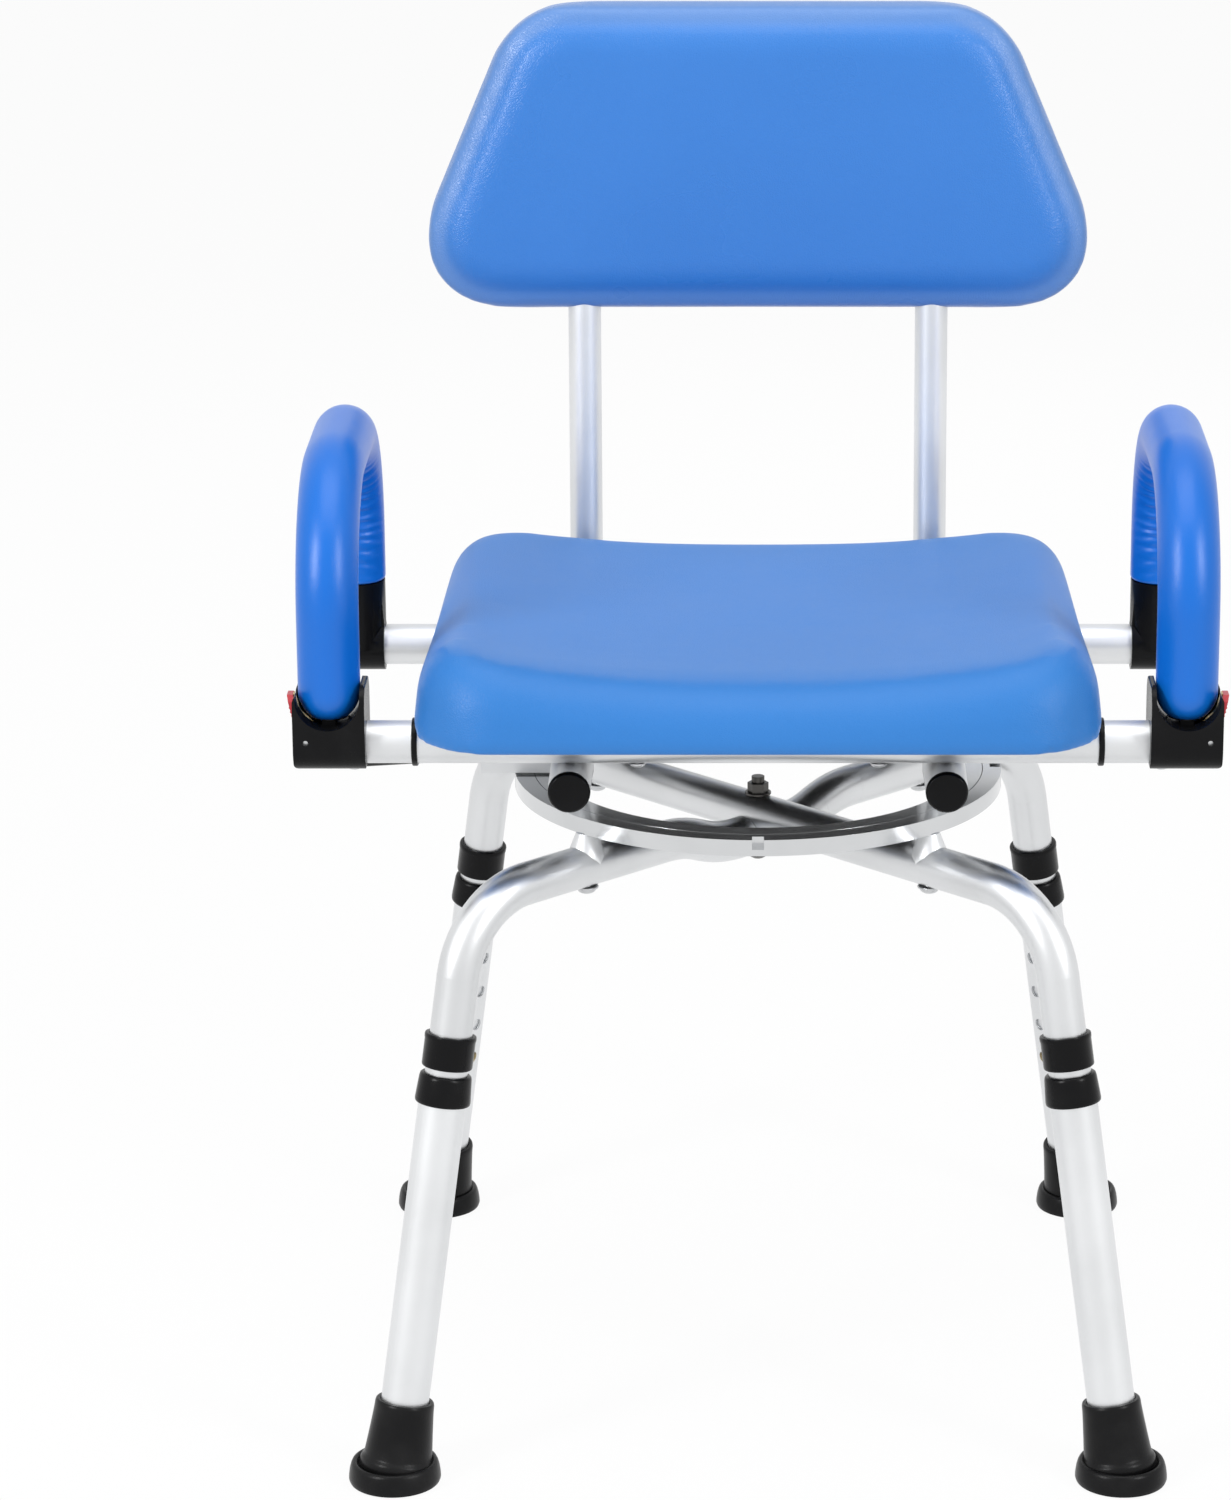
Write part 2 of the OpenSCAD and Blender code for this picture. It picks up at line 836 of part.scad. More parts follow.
// Closed solid through a stack of rings, with a middle point at each end
module ring_stack(rings, low, high) {
    n = len(rings[0]);
    m = len(rings);
    points = concat([for (ring = rings) each ring], [low, high]);
    sides = [for (j = [0 : m - 2], i = [0 : n - 1]) each [
        [j * n + i, (j + 1) * n + i, (j + 1) * n + (i + 1) % n],
        [j * n + i, (j + 1) * n + (i + 1) % n, j * n + (i + 1) % n]
    ]];
    low_fan = [for (i = [0 : n - 1]) [n * m, i, (i + 1) % n]];
    high_fan = [for (i = [0 : n - 1]) [n * m + 1, (m - 1) * n + (i + 1) % n, (m - 1) * n + i]];
    polyhedron(points, concat(sides, low_fan, high_fan), convexity = 8);
}

// Height of the seat's crown over its underside: lowest in the middle, higher at the sides and ends
seat_mid = (seat_front + seat_rear) / 2;
seat_half_l = (seat_rear - seat_front) / 2;
function seat_crown(p) =
    let (across = 2 * p.x / seat_w, along = (p.y - seat_mid) / seat_half_l)
    seat_t + seat_side_rise * pow(abs(across), 2.4) * (0.9 - 0.35 * along)
    + seat_end_rise * pow(abs(along), 2) * (1 - 0.5 * along);

// Rings of the seat's flank: inset from the outline and height, as a share of the flank
SEAT_FLANK = [[7, 0], [2, 0.05], [0, 0.22], [1.5, 0.5], [5, 0.78], [11, 0.93], [20, 1]];
SEAT_INNER = [0.8, 0.55, 0.28];
function seat_ring(inset) = outline(seat_w, seat_rear_w, seat_front, seat_rear, seat_corner, inset);
function at_crown(ring, share) = [for (p = ring) [p.x, p.y, seat_z + share * seat_crown(p)]];
function drawn_to_middle(ring, s) = [for (p = ring) [s * p.x, seat_mid + s * (p.y - seat_mid)]];

module board_solid(grow) {
    low = [-seat_rear_w / 2 + board_margin - grow, seat_front + board_margin - grow];
    high = [seat_rear_w / 2 - board_margin + grow, seat_rear - board_margin + grow];
    translate([0, 0, seat_z])
        linear_extrude(board_t + grow)
            rounded_rect(low, high, seat_corner / 2);
}

module at_seat_screws() {
    for (x = [-seat_screw_x, seat_screw_x], y = [cross_front, cross_rear])
        translate([x, y, cross_z - tube_r])
            children();
}

screw_length = tube_d + rest_gap + board_t - 2;

module seat_board() {
    color(BOARD)
        difference() {
            board_solid(0);
            at_seat_screws()
                cylinder(r = seat_screw_r + grip_gap, h = screw_length + 0.5);
        }
}

module seat_pad() {
    flank = [for (f = SEAT_FLANK) at_crown(seat_ring(f[0]), f[1])];
    last_inset = SEAT_FLANK[len(SEAT_FLANK) - 1][0];
    top = [for (s = SEAT_INNER) at_crown(drawn_to_middle(seat_ring(last_inset), s), 1)];
    low = [0, seat_mid, seat_z];
    high = [0, seat_mid, seat_z + seat_crown([0, seat_mid])];
    color(BLUE)
        difference() {
            ring_stack(concat(flank, top), low, high);
            translate([0, 0, -past])
                board_solid(rest_gap);
            board_solid(rest_gap);
        }
}

// Screws of the seat board, the front sockets and the back posts
module frame_screws() {
    color(STEEL) {
        at_seat_screws()
            domed_screw(seat_screw_r, screw_head_r, screw_head_h, screw_length);
        for (side = SIDES)
            translate([side * socket_screw_x, cross_front, socket_low])
                domed_screw(seat_screw_r, screw_head_r, screw_head_h, cross_z - socket_low - tube_bore_r + 3);
        for (side = SIDES)
            translate([side * runner_x, post_screw_y, runner_z - tube_r])
                domed_screw(seat_screw_r, screw_head_r, screw_head_h, tube_wall + post_wall + 3);
    }
}

// Back post as a solid bar: level in the runner, bent up, then straight up the back
module post_bar(d, over = 0) {
    rotate([0, 0, 90]) {
        translate([post_front - over, 0, runner_z])
            bar_x(d, post_run_end - post_front + over);
        translate([post_run_end, 0, runner_z])
            rotate([0, 90, 0])
                bend_bead(d);
        translate([post_run_end, 0, runner_z + post_bend])
            bar_arc(d, post_bend, -90, post_turn);
    }
    on_back() {
        translate([0, 0, post_rise_start])
            bend_bead(d);
        translate([0, 0, post_rise_start])
            cylinder(d = d, h = post_top - post_rise_start + over);
    }
}

module back_posts() {
    color(ALUMINIUM)
        for (side = SIDES)
            translate([side * runner_x, 0, 0])
                difference() {
                    post_bar(post_d);
                    post_bar(post_d - 2 * post_wall, past);
                    translate([0, post_screw_y, runner_z - tube_d])
                        cylinder(r = seat_screw_r + grip_gap, h = tube_d);
                    on_back()
                        translate([0, 0, back_screw_rise])
                            bar_y(2 * (back_screw_r + grip_gap), post_d);
                }
}

// Rings of the backrest from its rear face to its front: inset and place through the thickness
BACK_FLANK = [[14, 0], [6, 0.06], [1.5, 0.18], [0, 0.32], [0.8, 0.46], [4, 0.56], [9, 0.6],
              [12.5, 0.62], [14, 0.74], [18, 0.87], [24, 0.945], [32, 0.975]];
BACK_CROWN = 0.025;
function back_ring(inset, through) =
    [for (p = outline(back_w, back_top_w, back_rise, back_rise + back_h, back_corner, inset))
        [p.x, (0.5 - through) * back_t, p.y]];

module backrest_pad() {
    rings = [for (f = BACK_FLANK) back_ring(f[0], f[1])];
    middle = back_rise + back_h / 2;
    last = rings[len(rings) - 1];
    inner = [for (s = [0.75, 0.4]) [for (p = last)
        [s * p.x, p.y - BACK_CROWN * back_t * (1 - s), middle + s * (p.z - middle)]]];
    front_y = (0.5 - BACK_FLANK[len(BACK_FLANK) - 1][1] - BACK_CROWN) * back_t;
    color(BLUE)
        on_back()
            difference() {
                ring_stack(concat(rings, inner), [0, back_t / 2, middle], [0, front_y, middle]);
                for (side = SIDES)
                    translate([side * runner_x, 0, 0]) {
                        cylinder(r = post_hole_r, h = post_top + rest_gap);
                        translate([0, 0, back_screw_rise])
                            bar_y(2 * (back_screw_r + rest_gap), back_t);
                    }
            }
}

module backrest_screws() {
    length = back_t / 2 - post_r + 4;
    color(STEEL)
        on_back()
            for (side = SIDES)
                translate([side * runner_x, back_t / 2, back_screw_rise])
                    rotate([90, 0, 0])
                        domed_screw(back_screw_r, 2.4 * back_screw_r, 1.2 * back_screw_r, length);
}

// Arm loop as a solid bar, from its front end over the top to its rear end
module arm_bar(d, front_low, rear_low) {
    bend_z = arm_top - arm_bend;
    translate([arm_x, cross_front, front_low])
        cylinder(d = d, h = bend_z - front_low);
    translate([arm_x, cross_rear, rear_low])
        cylinder(d = d, h = bend_z - rear_low);
    translate([arm_x, cross_front + arm_bend, arm_top])
        bar_y(d, cross_rear - cross_front - 2 * arm_bend);
    translate([arm_x, cross_front + arm_bend, bend_z])
        rotate([0, 0, 90])
            bar_arc(d, arm_bend, 90, 90);
    translate([arm_x, cross_rear - arm_bend, bend_z])
        rotate([0, 0, 90])
            bar_arc(d, arm_bend, 0, 90);
}

module arm_tube(side) {
    color(ALUMINIUM)
        on_side(side)
            difference() {
                arm_bar(arm_tube_d, arm_tube_front_z, arm_tube_rear_z);
                arm_bar(2 * arm_bore_r, arm_tube_front_z - past, arm_tube_rear_z - past);
            }
}

module arm_pad(side) {
    color(BLUE)
        on_side(side)
            difference() {
                union() {
                    arm_bar(arm_pad_d, arm_seat_z, arm_rear_z);
                    translate([arm_x, cross_front, arm_seat_z])
                        rotate_extrude()
                            intersection() {
                                circle(arm_pad_r);
                                translate([0, -arm_pad_d])
                                    square(arm_pad_d);
                            }
                }
                arm_bar(arm_tube_d + 2 * grip_gap, arm_seat_z - arm_pad_d, arm_rear_z - past);
            }
}

// Rear elbow: collar that turns on the cross tube, and the cup that holds the arm tube
module arm_elbow(side) {
    cup_top = arm_rear_z - rest_gap;
    color(BLACK)
        on_side(side)
            difference() {
                union() {
                    translate([elbow_in, cross_rear, cross_z])
                        bar_x(elbow_d, elbow_out - elbow_in);
                    translate([arm_x, cross_rear, cross_z])
                        cylinder(r = elbow_post_r, h = cup_top - cross_z);
                    translate([0, cross_rear, cross_z])
                        plate_xz(elbow_d / 2)
                            polygon([
                                [elbow_in, 0], [arm_x, 0], [arm_x, elbow_d / 2 + gusset_l],
                                [elbow_in + 1, elbow_d / 2 + gusset_l], [elbow_in, elbow_d / 2]
                            ]);
                }
                translate([elbow_in - past, cross_rear, cross_z])
                    bar_x(2 * (tube_r + run_gap), cross_rear_end + rest_gap - elbow_in + past);
                translate([elbow_in, cross_rear, cross_z])
                    bar_x(2 * (pivot_bolt_r + run_gap), elbow_out - elbow_in + past);
                translate([arm_x, cross_rear, arm_tube_rear_z])
                    cylinder(r = arm_tube_r + grip_gap, h = cup_top);
            }
}

module rear_tube_plugs() {
    plug_depth = 18;
    color(BLACK)
        for (side = SIDES)
            on_side(side)
                translate([cross_rear_end - plug_depth, cross_rear, cross_z])
                    difference() {
                        bar_x(2 * (tube_bore_r - grip_gap), plug_depth);
                        translate([-past, 0, 0])
                            bar_x(2 * (pivot_bolt_r + grip_gap), plug_depth + 2 * past);
                    }
}

module arm_pivot_bolts() {
    shank = elbow_out - cross_rear_end + 15;
    color(STEEL)
        for (side = SIDES)
            on_side(side)
                translate([elbow_out + rest_gap, cross_rear, cross_z])
                    rotate([0, -90, 0])
                        domed_screw(pivot_bolt_r, 2.2 * pivot_bolt_r, pivot_bolt_r, shank);
}

// Plug in the arm tube's front end, with the tongue that the latch catches
module arm_plug(side) {
    tongue_h = arm_tube_front_z - tongue_low;
    shoulder_h = 3;
    color(BLACK)
        on_side(side)
            difference() {
                translate([arm_x, cross_front, 0]) {
                    translate([0, 0, arm_tube_front_z])
                        cylinder(r = arm_bore_r - grip_gap, h = plug_l);
                    translate([0, 0, arm_tube_front_z - shoulder_h])
                        cylinder(r = arm_tube_r - grip_gap, h = shoulder_h);
                    translate([-tongue_t / 2, -tongue_w / 2, tongue_low])
                        cube([tongue_t, tongue_w, tongue_h]);
                }
                translate([tongue_out - catch_depth, cross_front - tongue_w, catch_low])
                    cube([tongue_t, 2 * tongue_w, catch_high - catch_low]);
            }
}

// Front socket: a trough for the sleeve's round end, with room for tube, tongue and latch
module arm_socket(side) {
    trough_top = socket_in_top - arm_seat_z + past;
    slot_x = arm_x - tongue_t / 2 - free_gap;
    slot_y = cross_front - tongue_w / 2 - free_gap;
    color(BLACK)
        on_side(side)
            difference() {
                intersection() {
                    translate([0, cross_front, 0])
                        plate_xz(socket_l) {
                            rounded_rect([socket_in, socket_low], [socket_out, socket_out_top],
                                         socket_corner);
                            rounded_rect([socket_in, socket_low], [arm_x, socket_in_top],
                                         socket_corner / 2);
                        }
                    translate([socket_in - past, cross_front, 0])
                        rotate([90, 0, 90])
                            linear_extrude(socket_out - socket_in + 2 * past)
                                rounded_rect([-socket_l / 2, socket_low], [socket_l / 2, socket_in_top],
                                             socket_side_round);
                }
                translate([arm_x, cross_front - socket_l, arm_seat_z])
                    bar_y(2 * trough_r, 2 * socket_l);
                translate([arm_x - trough_r, cross_front - socket_l, arm_seat_z])
                    cube([2 * trough_r, 2 * socket_l, trough_top]);
                translate([socket_in - past, cross_front, cross_z])
                    bar_x(2 * (tube_r + grip_gap), cross_front_end - socket_in + grip_gap + past);
                translate([socket_screw_x, cross_front, socket_low - past])
                    cylinder(r = seat_screw_r + grip_gap, h = cross_z - socket_low);
                translate([slot_x, slot_y, tongue_slot_low])
                    cube([tongue_t + 2 * free_gap, tongue_w + free_gap + tongue_room_rear,
                          arm_seat_z - tongue_slot_low]);
                translate([tongue_out, cross_front - pocket_half, latch_z + nose_low - 2 * free_gap])
                    cube([socket_out, 2 * pocket_half, socket_in_top]);
                translate([latch_x, cross_front - socket_l, latch_z])
                    bar_y(2 * (latch_pin_r + grip_gap), 2 * socket_l);
            }
}

module latch_pins() {
    pin_l = socket_l - 4;
    color(STEEL)
        for (side = SIDES)
            on_side(side)
                translate([latch_x, cross_front - pin_l / 2, latch_z])
                    bar_y(2 * latch_pin_r, pin_l);
}

// Back of the latch's tab, as a distance out from the pin at a height above it
tab_heel = 1;
function tab_back(rise) = tab_inner - tab_heel + (tab_lean + tab_heel) * rise / tab_top;

// Latch seen along Y: boss on the pin, ribbed tab leaning outwards, nose below the pin
module latch_solid() {
    plate_xz(latch_w)
        circle(latch_boss_r);
    plate_xz(latch_w)
        polygon([
            [tab_back(0), 0],
            [tab_back(tab_top), tab_top],
            [tab_back(tab_top) + tab_t, tab_top],
            [tab_inner + tab_t, 0],
            [tab_inner, -1.5 * tab_heel]
        ]);
    plate_xz(latch_w)
        polygon([
            [-latch_boss_r + 0.6, 0.5], [latch_boss_r - 0.6, 0.5], [latch_boss_r - 1.8, nose_low],
            [-nose_tip, nose_low], [-nose_tip, nose_high], [-latch_boss_r + 0.6, nose_high]
        ]);
    for (i = [0 : rib_count - 1]) {
        rise = tab_top * 0.4 + rib_step * i;
        translate([tab_inner + tab_t - 0.3 + tab_lean * rise / tab_top, -latch_w / 2, rise])
            bar_y(2 * rib_r, latch_w);
    }
}

module latch(side) {
    color(RED)
        on_side(side)
            translate([latch_x, cross_front, latch_z])
                difference() {
                    intersection() {
                        latch_solid();
                        translate([-socket_out, 0, 0])
                            rotate([90, 0, 90])
                                linear_extrude(2 * socket_out)
                                    polygon([
                                        [-tab_foot_w / 2, nose_low], [tab_foot_w / 2, nose_low],
                                        [tab_foot_w / 2, 2], [latch_w / 2, 0.6 * tab_top],
                                        [latch_w / 2, 0.86 * tab_top], [0.3 * latch_w, tab_top],
                                        [-0.3 * latch_w, tab_top], [-latch_w / 2, 0.86 * tab_top],
                                        [-latch_w / 2, 0.6 * tab_top], [-tab_foot_w / 2, 2]
                                    ]);
                    }
                    translate([0, -latch_w, 0])
                        bar_y(2 * (latch_pin_r + run_gap), 2 * latch_w);
                }
}

// Leaf that pushes the latch's tab out, its foot held in the socket
module latch_springs() {
    gap = 0.3;
    foot = [leaf_anchor - latch_x, latch_boss_r + 1];
    mid = [tab_back(0.5 * tab_top) - gap - leaf_spring_t, 0.5 * tab_top];
    tip = [tab_back(1.06 * tab_top) - gap - leaf_spring_t, 1.06 * tab_top];
    t = [leaf_spring_t, 0];
    color(BRASS)
        for (side = SIDES)
            on_side(side)
                translate([latch_x, cross_front, latch_z])
                    plate_xz(leaf_spring_w)
                        polygon([foot, mid, tip, tip + t, mid + t, foot + t]);
}

// Square channel of the swivel lock, welded to the runner, open outwards and downwards
module lock_box() {
    color(ALUMINIUM)
        difference() {
            translate([-lock_out, -lock_w / 2, lock_low])
                cube([lock_out - lock_in, lock_w, lock_top - lock_low]);
            translate([-lock_out - past, -lock_w / 2 + lock_wall, lock_low - past])
                cube([lock_out, lock_w - 2 * lock_wall, lock_top - lock_low - lock_wall + past]);
            translate([-runner_x, -lock_w, runner_z])
                bar_y(2 * (tube_r + grip_gap), 2 * lock_w);
            translate([-lever_x, -lock_w, lever_z])
                bar_y(2 * (lever_pin_r + grip_gap), 2 * lock_w);
        }
}

module lock_box_pad() {
    margin = 2;
    color(BLACK)
        translate([-lock_out + margin, -lock_w / 2 + margin, lock_top])
            cube([lock_out - lock_in - 2 * margin, lock_w - 2 * margin, lock_pad_t]);
}

module lock_pivot_pin() {
    color(STEEL)
        translate([-lever_x, -lock_w / 2 - past, lever_z])
            bar_y(2 * lever_pin_r, lock_w + 2 * past);
}

// Unbroken tube along a helix, and its least gap to itself
SPRING_STEPS = 8;
SPRING_SIDES = 6;
spring_rings = spring_coils * SPRING_STEPS;
spring_climb = spring_high - spring_low - spring_wire;
function spring_point(i) =
    let (a = 360 * i / SPRING_STEPS)
    [spring_r * cos(a), spring_r * sin(a), spring_low + spring_wire / 2 + spring_climb * i / spring_rings];
function spring_ring(i) =
    let (a = 360 * i / SPRING_STEPS, c = spring_point(i))
    [for (k = [0 : SPRING_SIDES - 1])
        let (b = -360 * k / SPRING_SIDES, out = spring_wire / 2 * cos(b))
        [c.x + out * cos(a), c.y + out * sin(a), c.z + spring_wire / 2 * sin(b)]];
spring_gap = min([for (i = [0 : spring_rings - SPRING_STEPS])
    norm(spring_point(i + SPRING_STEPS) - spring_point(i)) - spring_wire]);
echo(lock_spring_least_gap_mm = spring_gap);

module lock_spring() {
    rings = [for (i = [0 : spring_rings]) spring_ring(i)];
    color(BRASS)
        translate([-spring_x, 0, 0])
            ring_stack(rings, spring_point(0), spring_point(spring_rings));
}

// Lever: eye on the pivot pin, sloping plate and the tooth over the outer ring
module lock_lever() {
    tooth_high = lever_z - (tooth_in - lever_x) * tan(lever_slope);
    eye_w = lock_w - 2 * lock_wall - 2 * free_gap;
    color(STEEL)
        difference() {
            union() {
                translate([-lever_x, 0, lever_z])
                    rotate([0, -lever_slope, 0])
                        translate([lever_x - lever_tail, -lever_w / 2, -lever_t / 2])
                            cube([lever_tail - lever_x, lever_w, lever_t]);
                translate([-lever_x, -eye_w / 2, lever_z])
                    bar_y(2 * lever_eye_r, eye_w);
                translate([-tooth_in - tooth_t, -tooth_w / 2, tooth_tip])
                    cube([tooth_t, tooth_w, tooth_high - tooth_tip]);
            }
            translate([-lever_x, -lock_w, lever_z])
                bar_y(2 * (lever_pin_r + run_gap), 2 * lock_w);
        }
}

module lock_grip() {
    low = [lever_x - grip_out, -grip_w / 2];
    high = [lever_x - grip_out + grip_l, grip_w / 2];
    slit = [lever_tail, lever_w + 2 * grip_gap, lever_t + 2 * grip_gap];
    color(BLACK)
        translate([-lever_x, 0, lever_z])
            rotate([0, -lever_slope, 0])
                difference() {
                    translate([0, 0, -grip_t / 2])
                        linear_extrude(grip_t)
                            rounded_rect(low, high, grip_w / 4);
                    translate([lever_x - lever_tail - grip_gap, -slit.y / 2, -slit.z / 2])
                        cube(slit);
                }
}

module leg_tube(turn) {
    color(ALUMINIUM)
        in_leg(turn)
            difference() {
                translate([0, 0, leg_bottom])
                    cylinder(r = leg_r, h = leg_top - leg_bottom);
                translate([0, 0, leg_bottom - past])
                    cylinder(r = leg_bore_r, h = leg_top - leg_bottom + 2 * past);
                for (i = [0 : hole_count - 1])
                    translate([0, 0, button_z + i * hole_pitch])
                        rotate([0, -90, 0])
                            cylinder(r = button_hole_r, h = 2 * leg_r);
            }
}

module leg_bushing(turn) {
    low = leg_top + bushing_lip - bushing_h;
    color(BLACK)
        in_leg(turn)
            difference() {
                translate([0, 0, low])
                    cylinder(r1 = bushing_foot_r, r2 = bushing_top_r, h = bushing_h);
                translate([0, 0, low - past])
                    cylinder(r = leg_r + grip_gap, h = leg_top - low + past);
                translate([0, 0, low])
                    cylinder(r = leg_bore_r, h = bushing_h + past);
            }
}

// Rubber foot: flat grooved flange on the floor, and a sleeve along the leg
module foot(turn) {
    color(RUBBER)
        difference() {
            union() {
                rotate([0, 0, turn])
                    translate([foot_r, 0, 0])
                        rotate_extrude()
                            polygon([
                                [0, 0],
                                [flange_r - flange_lip, 0],
                                [flange_r, flange_lip],
                                [flange_r, flange_low_h - flange_lip],
                                [flange_r - flange_lip, flange_low_h],
                                [flange_r - flange_lip, flange_groove_h],
                                [flange_r - flange_lip / 2, flange_groove_h + 1],
                                [flange_r - flange_lip, flange_top_h],
                                [flange_r - flange_shoulder, flange_shoulder_h],
                                [0, flange_shoulder_h]
                            ]);
                in_leg(turn)
                    translate([0, 0, sleeve_low])
                        cylinder(r1 = sleeve_foot_r, r2 = sleeve_top_r, h = foot_h - sleeve_low);
            }
            in_leg(turn)
                translate([0, 0, leg_bottom - grip_gap])
                    cylinder(r = leg_r + grip_gap, h = foot_h);
        }
}

// Snap button with its leaf spring, held in a hole of the frame tube
module snap_button(turn) {
    color(BRASS)
        in_leg(turn)
            translate([0, 0, button_z]) {
                rotate([0, -90, 0])
                    rotate_extrude()
                        polygon([
                            [0, button_back - 1],
                            [button_flange_r, button_back - 1],
                            [button_flange_r, button_back],
                            [button_r, button_back],
                            [button_r, button_tip - button_edge],
                            [button_r - button_edge, button_tip],
                            [0, button_tip]
                        ]);
                plate_xz(leaf_w)
                    polygon([
                        [-button_back + leaf_t, -leaf_tail],
                        [-button_back, -leaf_tail],
                        [-button_back, leaf_h],
                        [-button_back + 2 * leaf_t, leaf_h + leaf_t],
                        [leaf_back, -leaf_tail + leaf_t],
                        [leaf_back - leaf_t, -leaf_tail],
                        [-button_back + leaf_t, leaf_h - 2 * leaf_t]
                    ]);
            }
}

base_tube_upper();
base_tube_lower();
cross_bolt();
leg_collars();
ring_outer();
base_spacers();
base_bolts();
bearing_balls();
ring_inner();
seat_spacers();
seat_bolts();
runners();
runner_caps();
cross_tube_front();
cross_tube_rear();
tube_grommets();
seat_board();
seat_pad();
frame_screws();
back_posts();
backrest_pad();
backrest_screws();
arm_socket(LEFT);  // arm_socket_left
arm_socket(RIGHT);  // arm_socket_right
latch_pins();
rear_tube_plugs();
arm_pivot_bolts();
lock_box();
lock_box_pad();
lock_pivot_pin();
lock_spring();
latch_springs();
lock_lever();
lock_grip();
arm_tube(LEFT);  // arm_tube_left
arm_pad(LEFT);  // arm_pad_left
arm_elbow(LEFT);  // arm_elbow_left
arm_plug(LEFT);  // arm_plug_left
arm_tube(RIGHT);  // arm_tube_right
arm_pad(RIGHT);  // arm_pad_right
arm_elbow(RIGHT);  // arm_elbow_right
arm_plug(RIGHT);  // arm_plug_right
latch(LEFT);  // latch_left
latch(RIGHT);  // latch_right
leg_tube(FRONT_LEFT);  // leg_tube_front_left
leg_bushing(FRONT_LEFT);  // leg_bushing_front_left
foot(FRONT_LEFT);  // foot_front_left
snap_button(FRONT_LEFT);  // snap_button_front_left
leg_tube(FRONT_RIGHT);  // leg_tube_front_right
leg_bushing(FRONT_RIGHT);  // leg_bushing_front_right
foot(FRONT_RIGHT);  // foot_front_right
snap_button(FRONT_RIGHT);  // snap_button_front_right
leg_tube(REAR_LEFT);  // leg_tube_rear_left
leg_bushing(REAR_LEFT);  // leg_bushing_rear_left
foot(REAR_LEFT);  // foot_rear_left
snap_button(REAR_LEFT);  // snap_button_rear_left
leg_tube(REAR_RIGHT);  // leg_tube_rear_right
leg_bushing(REAR_RIGHT);  // leg_bushing_rear_right
foot(REAR_RIGHT);  // foot_rear_right
snap_button(REAR_RIGHT);  // snap_button_rear_right
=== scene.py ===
"""Padded swivel bath chair: finishes, soft pads, redrawn fittings and studio."""

import json
import logging
import math
from dataclasses import dataclass, field
from enum import Enum
from typing import Callable

import bmesh
import bpy
from mathutils import Matrix, Vector

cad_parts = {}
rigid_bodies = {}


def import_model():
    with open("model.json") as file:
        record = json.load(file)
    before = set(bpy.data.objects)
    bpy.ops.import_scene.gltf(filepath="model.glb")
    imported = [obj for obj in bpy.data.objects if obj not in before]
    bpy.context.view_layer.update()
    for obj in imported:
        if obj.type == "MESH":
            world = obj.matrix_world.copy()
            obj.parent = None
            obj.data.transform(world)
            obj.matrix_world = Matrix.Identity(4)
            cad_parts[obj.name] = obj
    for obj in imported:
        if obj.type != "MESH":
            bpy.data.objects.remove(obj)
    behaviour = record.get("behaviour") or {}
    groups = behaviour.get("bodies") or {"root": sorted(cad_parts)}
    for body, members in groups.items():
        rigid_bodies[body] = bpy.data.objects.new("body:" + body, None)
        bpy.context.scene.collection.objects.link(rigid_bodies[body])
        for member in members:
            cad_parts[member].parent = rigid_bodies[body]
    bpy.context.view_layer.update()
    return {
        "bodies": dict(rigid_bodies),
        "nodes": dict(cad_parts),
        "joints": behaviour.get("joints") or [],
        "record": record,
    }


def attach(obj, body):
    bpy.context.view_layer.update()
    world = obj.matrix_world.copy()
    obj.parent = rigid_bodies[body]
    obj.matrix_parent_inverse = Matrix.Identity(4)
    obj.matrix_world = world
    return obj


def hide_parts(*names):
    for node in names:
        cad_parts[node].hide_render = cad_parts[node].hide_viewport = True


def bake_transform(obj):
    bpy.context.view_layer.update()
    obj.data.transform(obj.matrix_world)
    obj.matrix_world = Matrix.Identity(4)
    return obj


LOG = logging.getLogger("bath_chair")
RIM = "rim"

# Places that several pieces share, in metres
FOOT_OUT = 0.217 * math.sqrt(2)
LEG_LEAN = 10.7
BASE_Z = 0.349
TUBE_R = 0.0127
RUNNER_X = 0.1115
RUNNER_Z = 0.4055
CROSS_FRONT = -0.118
CROSS_REAR = 0.095
CROSS_Z = 0.43096
LATCH = (0.266, CROSS_FRONT, 0.43616)
LEVER = (-0.1285, 0.0, 0.394)
POST_Y = 0.199
POST_LEAN = 3.0


class Side(Enum):
    """Which of the sitter's sides a piece is on; the value is the sign of X."""

    LEFT = 1
    RIGHT = -1

    @property
    def word(self) -> str:
        """The side's name as the nodes spell it."""
        return self.name.lower()


class Corner(Enum):
    """The four legs, with the turn of each from +X in degrees."""

    FRONT_LEFT = -45.0
    FRONT_RIGHT = -135.0
    REAR_LEFT = 45.0
    REAR_RIGHT = 135.0

    @property
    def word(self) -> str:
        """The leg's name as the nodes spell it."""
        return self.name.lower()


# Finishes


